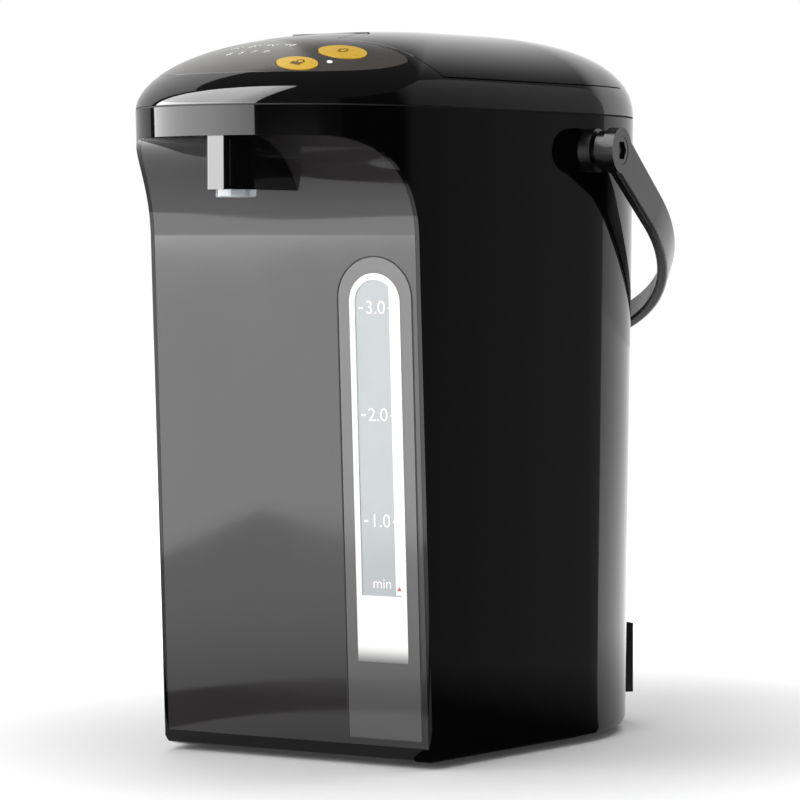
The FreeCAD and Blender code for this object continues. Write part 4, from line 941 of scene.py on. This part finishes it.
@dataclass(frozen=True)
class Lamp:
    """A softbox that faces its aim, and that neither the camera nor a mirror sees."""

    name: str
    turn_deg: float
    rise_deg: float
    reach: float
    size: tuple[float, float]
    watts: float
    aim: tuple[float, float, float] = (0.0, -0.05, 0.17)

    def hang(self) -> None:
        """Make the lamp."""
        data = bpy.data.lights.new(self.name, "AREA")
        data.shape = "RECTANGLE"
        data.size, data.size_y = self.size
        data.energy = self.watts
        lamp = bpy.data.objects.new(self.name, data)
        turn, rise = math.radians(self.turn_deg), math.radians(self.rise_deg)
        back = Vector((math.sin(turn) * math.cos(rise), -math.cos(turn) * math.cos(rise), math.sin(rise)))
        lamp.location = Vector(self.aim) + back * self.reach
        lamp.rotation_mode = "QUATERNION"
        lamp.rotation_quaternion = (-back).to_track_quat("-Z", "Y")
        lamp.visible_camera = False
        lamp.visible_glossy = False
        bpy.context.scene.collection.objects.link(lamp)


@dataclass(frozen=True)
class Card:
    """A glowing sheet bent round the pot, which only mirrors see.

    Attributes:
        name: Its name.
        turns_deg: Azimuths of its corners.
        rings: Radius and height of each of its rows.
        levels: Brightness at both ends of its span.
        axis: The axis along which its brightness runs.
        span: Where the brightness starts and ends on that axis.
        peak: Which corner is drawn out, and how many times as far.
        middle_y: Where the middle of its bend is.
    """

    name: str
    turns_deg: range
    rings: tuple[tuple[float, float], ...]
    levels: tuple[float, float]
    axis: str
    span: tuple[float, float]
    peak: Optional[tuple[int, float]] = None
    middle_y: float = -0.13

    def bend(self) -> bmesh.types.BMesh:
        """The sheet."""
        shape = bmesh.new()
        turns = [math.radians(v) for v in self.turns_deg]
        rows = [[shape.verts.new((r * math.sin(t), self.middle_y - r * math.cos(t), z)) for t in turns]
                for r, z in self.rings]
        for low, high in zip(rows[:-1], rows[1:]):
            for i in range(len(turns) - 1):
                shape.faces.new((low[i], low[i + 1], high[i + 1], high[i]))
        if self.peak:
            corner, factor = self.peak
            shape.verts.ensure_lookup_table()
            place = shape.verts[corner].co
            place.x, place.y = place.x * factor, self.middle_y + (place.y - self.middle_y) * factor
        return shape

    def hang(self) -> None:
        """Make the card."""
        card = link_object(self.bend(), self.name)
        made = bare_material(self.name)
        tree = made.node_tree
        place = add_node(tree, "ShaderNodeTexCoord")
        split = add_node(tree, "ShaderNodeSeparateXYZ", links={"Vector": place.outputs["Object"]})
        ramp = add_node(tree, "ShaderNodeMapRange",
                        {"From Min": self.span[0], "From Max": self.span[1], "To Min": self.levels[0],
                         "To Max": self.levels[1]}, {"Value": split.outputs[self.axis]})
        glow = add_node(tree, "ShaderNodeEmission", {"Color": linear(WHITE)}, {"Strength": ramp.outputs[0]})
        add_node(tree, "ShaderNodeOutputMaterial", links={"Surface": glow.outputs[0]})
        card.data.materials.append(made)
        card.visible_camera = False
        card.visible_diffuse = False
        card.visible_transmission = False
        card.visible_shadow = False


WHITE = "#ffffff"
LAMPS = (
    Lamp("key_softbox", turn_deg=-24.0, rise_deg=24.0, reach=1.5, size=(2.2, 1.5), watts=22.0),
    Lamp("top_softbox", turn_deg=190.0, rise_deg=66.0, reach=1.7, size=(2.0, 1.0), watts=18.0),
)
# Radius of the cards that stand far off, height of those that lie on the floor, and azimuths of the
# ones in front
FAR_R = 1.35
LYING_Z = 0.0015
FRONT_DEG = range(-88, 10, 7)
CARDS = (
    # Bright ground before the pot, with a peaked near edge, for the leaning front panel
    Card("ground_card", FRONT_DEG, ((0.56, LYING_Z), (FAR_R, LYING_Z), (FAR_R, 0.13)), levels=(4.3, 4.3),
         axis="X", span=(0.0, 1.0), peak=(8, 1.27)),
    # Bright wall before the pot, for the cove, the collar and the front of the head
    Card("front_card", FRONT_DEG, ((FAR_R, 0.13), (FAR_R, 0.9)), levels=(9.2, 5.4), axis="X",
         span=(-0.75, 0.15)),
    # Bright slope overhead, for the dome
    Card("crown_card", FRONT_DEG, ((FAR_R, 0.9), (FAR_R, 2.6), (0.8, 3.3), (0.04, 3.5)), levels=(5.6, 2.6),
         axis="X", span=(-0.6, 0.15)),
    # Dimmer wall at the left
    Card("left_card", range(-148, -92, 6), ((FAR_R, 0.0), (FAR_R, 1.9)), levels=(0.8, 0.8), axis="X",
         span=(0.0, 1.0)),
    # Dark wall at the right, for the black side
    Card("side_card", range(62, 145, 8), ((0.06, LYING_Z), (0.42, LYING_Z), (0.42, 0.6)), levels=(0.02, 0.5),
         axis="Y", span=(0.0, 0.3)),
    # Dark strip at the foot, for the bottom of the front panel
    Card("foot_card", range(-100, 66, 6), ((0.10, 0.001), (0.175, 0.001)), levels=(0.7, 0.06), axis="Y",
         span=(-0.30, -0.245)),
)


@dataclass
class Studio:
    """Camera, lamps, pale floor, cards for the gloss to mirror, and world."""

    camera_turn_deg: float = 28.10
    camera_reach: float = 1.7249
    camera_height: float = 0.2403
    look_turn_deg: float = 28.6
    look_down_deg: float = 2.54
    lens_mm: float = 155.36
    sensor_mm: float = 36.0
    clip_end: float = 50.0
    floor_half: float = 6.0
    floor_colour: str = "#f3f3f3"
    # Glow of the floor near the pot and far from it: the weak glow near it is painted shade round the pot
    floor_glow: tuple[float, float] = (0.03, 0.95)
    floor_reach: tuple[float, float] = (0.13, 0.55)
    fill: float = 0.36
    dark: float = 0.07
    backdrop_turn_deg: float = 176.0
    backdrop_edge: tuple[float, float] = (0.70, 0.87)

    def build(self) -> None:
        """Set up the whole studio."""
        self.build_camera()
        for lamp in LAMPS:
            lamp.hang()
        self.build_floor()
        for card in CARDS:
            card.hang()
        self.build_world()
        bpy.context.scene.view_settings.view_transform = "Standard"

    def build_camera(self) -> None:
        """Stand the camera where the photograph was taken from."""
        data = bpy.data.cameras.new("camera")
        data.sensor_width = self.sensor_mm
        data.lens = self.lens_mm
        data.clip_end = self.clip_end
        camera = bpy.data.objects.new("camera", data)
        turn, look, down = (math.radians(v) for v in
                            (self.camera_turn_deg, self.look_turn_deg, self.look_down_deg))
        camera.location = (self.camera_reach * math.sin(turn), -self.camera_reach * math.cos(turn),
                           self.camera_height)
        ahead = Vector((-math.sin(look) * math.cos(down), math.cos(look) * math.cos(down), -math.sin(down)))
        camera.rotation_mode = "QUATERNION"
        camera.rotation_quaternion = ahead.to_track_quat("-Z", "Y")
        bpy.context.scene.collection.objects.link(camera)
        bpy.context.scene.camera = camera

    def background_share(self, tree: bpy.types.NodeTree) -> bpy.types.NodeSocket:
        """One for camera, glossy and transmission rays, and zero for others."""
        path = add_node(tree, "ShaderNodeLightPath")
        first = add_node(tree, "ShaderNodeMath", {"operation": "MAXIMUM"},
                         {0: path.outputs["Is Camera Ray"], 1: path.outputs["Is Glossy Ray"]})
        return add_node(tree, "ShaderNodeMath", {"operation": "MAXIMUM"},
                        {0: first.outputs[0], 1: path.outputs["Is Transmission Ray"]}).outputs[0]

    def build_floor(self) -> None:
        """A pale floor that keeps the pot's shadow, and glows more the farther it is from the pot, so that
        its weak glow near the pot paints shade round the pot's foot.
        """
        shape = bmesh.new()
        bmesh.ops.create_grid(shape, x_segments=8, y_segments=8, size=self.floor_half)
        floor = link_object(shape, "floor")
        made = bare_material("pale_floor")
        tree = made.node_tree
        matte = add_node(tree, "ShaderNodeBsdfDiffuse", {"Color": linear(self.floor_colour)})
        share = self.background_share(tree)
        place = add_node(tree, "ShaderNodeTexCoord")
        reach = add_node(tree, "ShaderNodeVectorMath", {"operation": "LENGTH"}, {0: place.outputs["Object"]})
        ramp = add_node(tree, "ShaderNodeMapRange",
                        {"From Min": self.floor_reach[0], "From Max": self.floor_reach[1],
                         "To Min": self.floor_glow[0], "To Max": self.floor_glow[1],
                         "interpolation_type": "SMOOTHSTEP"}, {"Value": reach.outputs["Value"]})
        lift = add_node(tree, "ShaderNodeMath", {"operation": "MULTIPLY"}, {0: share, 1: ramp.outputs[0]})
        glow = add_node(tree, "ShaderNodeEmission", {"Color": linear(WHITE)}, {"Strength": lift.outputs[0]})
        both = add_node(tree, "ShaderNodeAddShader", links={0: matte.outputs[0], 1: glow.outputs[0]})
        add_node(tree, "ShaderNodeOutputMaterial", links={"Surface": both.outputs[0]})
        floor.data.materials.append(made)

    def build_world(self) -> None:
        """White to the camera and through clear parts, bright behind the pot and dark elsewhere in
        mirrors, and a soft fill where it lights."""
        world = bpy.data.worlds.new("world")
        world.use_nodes = True
        tree = world.node_tree
        tree.nodes.clear()
        path = add_node(tree, "ShaderNodeLightPath")
        seen = add_node(tree, "ShaderNodeMath", {"operation": "MAXIMUM"},
                        {0: path.outputs["Is Camera Ray"], 1: path.outputs["Is Transmission Ray"]})
        way = add_node(tree, "ShaderNodeTexCoord")
        turn = math.radians(self.backdrop_turn_deg)
        towards = (math.sin(turn), -math.cos(turn), 0.0)
        facing = add_node(tree, "ShaderNodeVectorMath", {"operation": "DOT_PRODUCT", 1: towards},
                          {0: way.outputs["Generated"]})
        mirror = add_node(tree, "ShaderNodeMapRange",
                          {"From Min": self.backdrop_edge[0], "From Max": self.backdrop_edge[1],
                           "To Min": self.dark, "To Max": 1.0, "interpolation_type": "SMOOTHSTEP"},
                          {"Value": facing.outputs["Value"]})
        glossy = add_node(tree, "ShaderNodeMapRange", {"To Min": self.fill},
                          {"Value": path.outputs["Is Glossy Ray"], "To Max": mirror.outputs[0]})
        level = add_node(tree, "ShaderNodeMapRange", {"To Max": 1.0},
                         {"Value": seen.outputs[0], "To Min": glossy.outputs[0]})
        back = add_node(tree, "ShaderNodeBackground", {"Color": linear(WHITE)},
                        {"Strength": level.outputs[0]})
        add_node(tree, "ShaderNodeOutputWorld", links={"Surface": back.outputs[0]})
        bpy.context.scene.world = world


def main() -> None:
    """Build the studio and dress the pot."""
    logging.basicConfig(level=logging.INFO)
    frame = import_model()
    Studio().build()
    for assembly in (Shell(), Gauge(), Spout(), Head(), LID, HANDLE, UNDERSIDE, Inside()):
        assembly.build(frame)


if __name__ == "__main__":
    main()
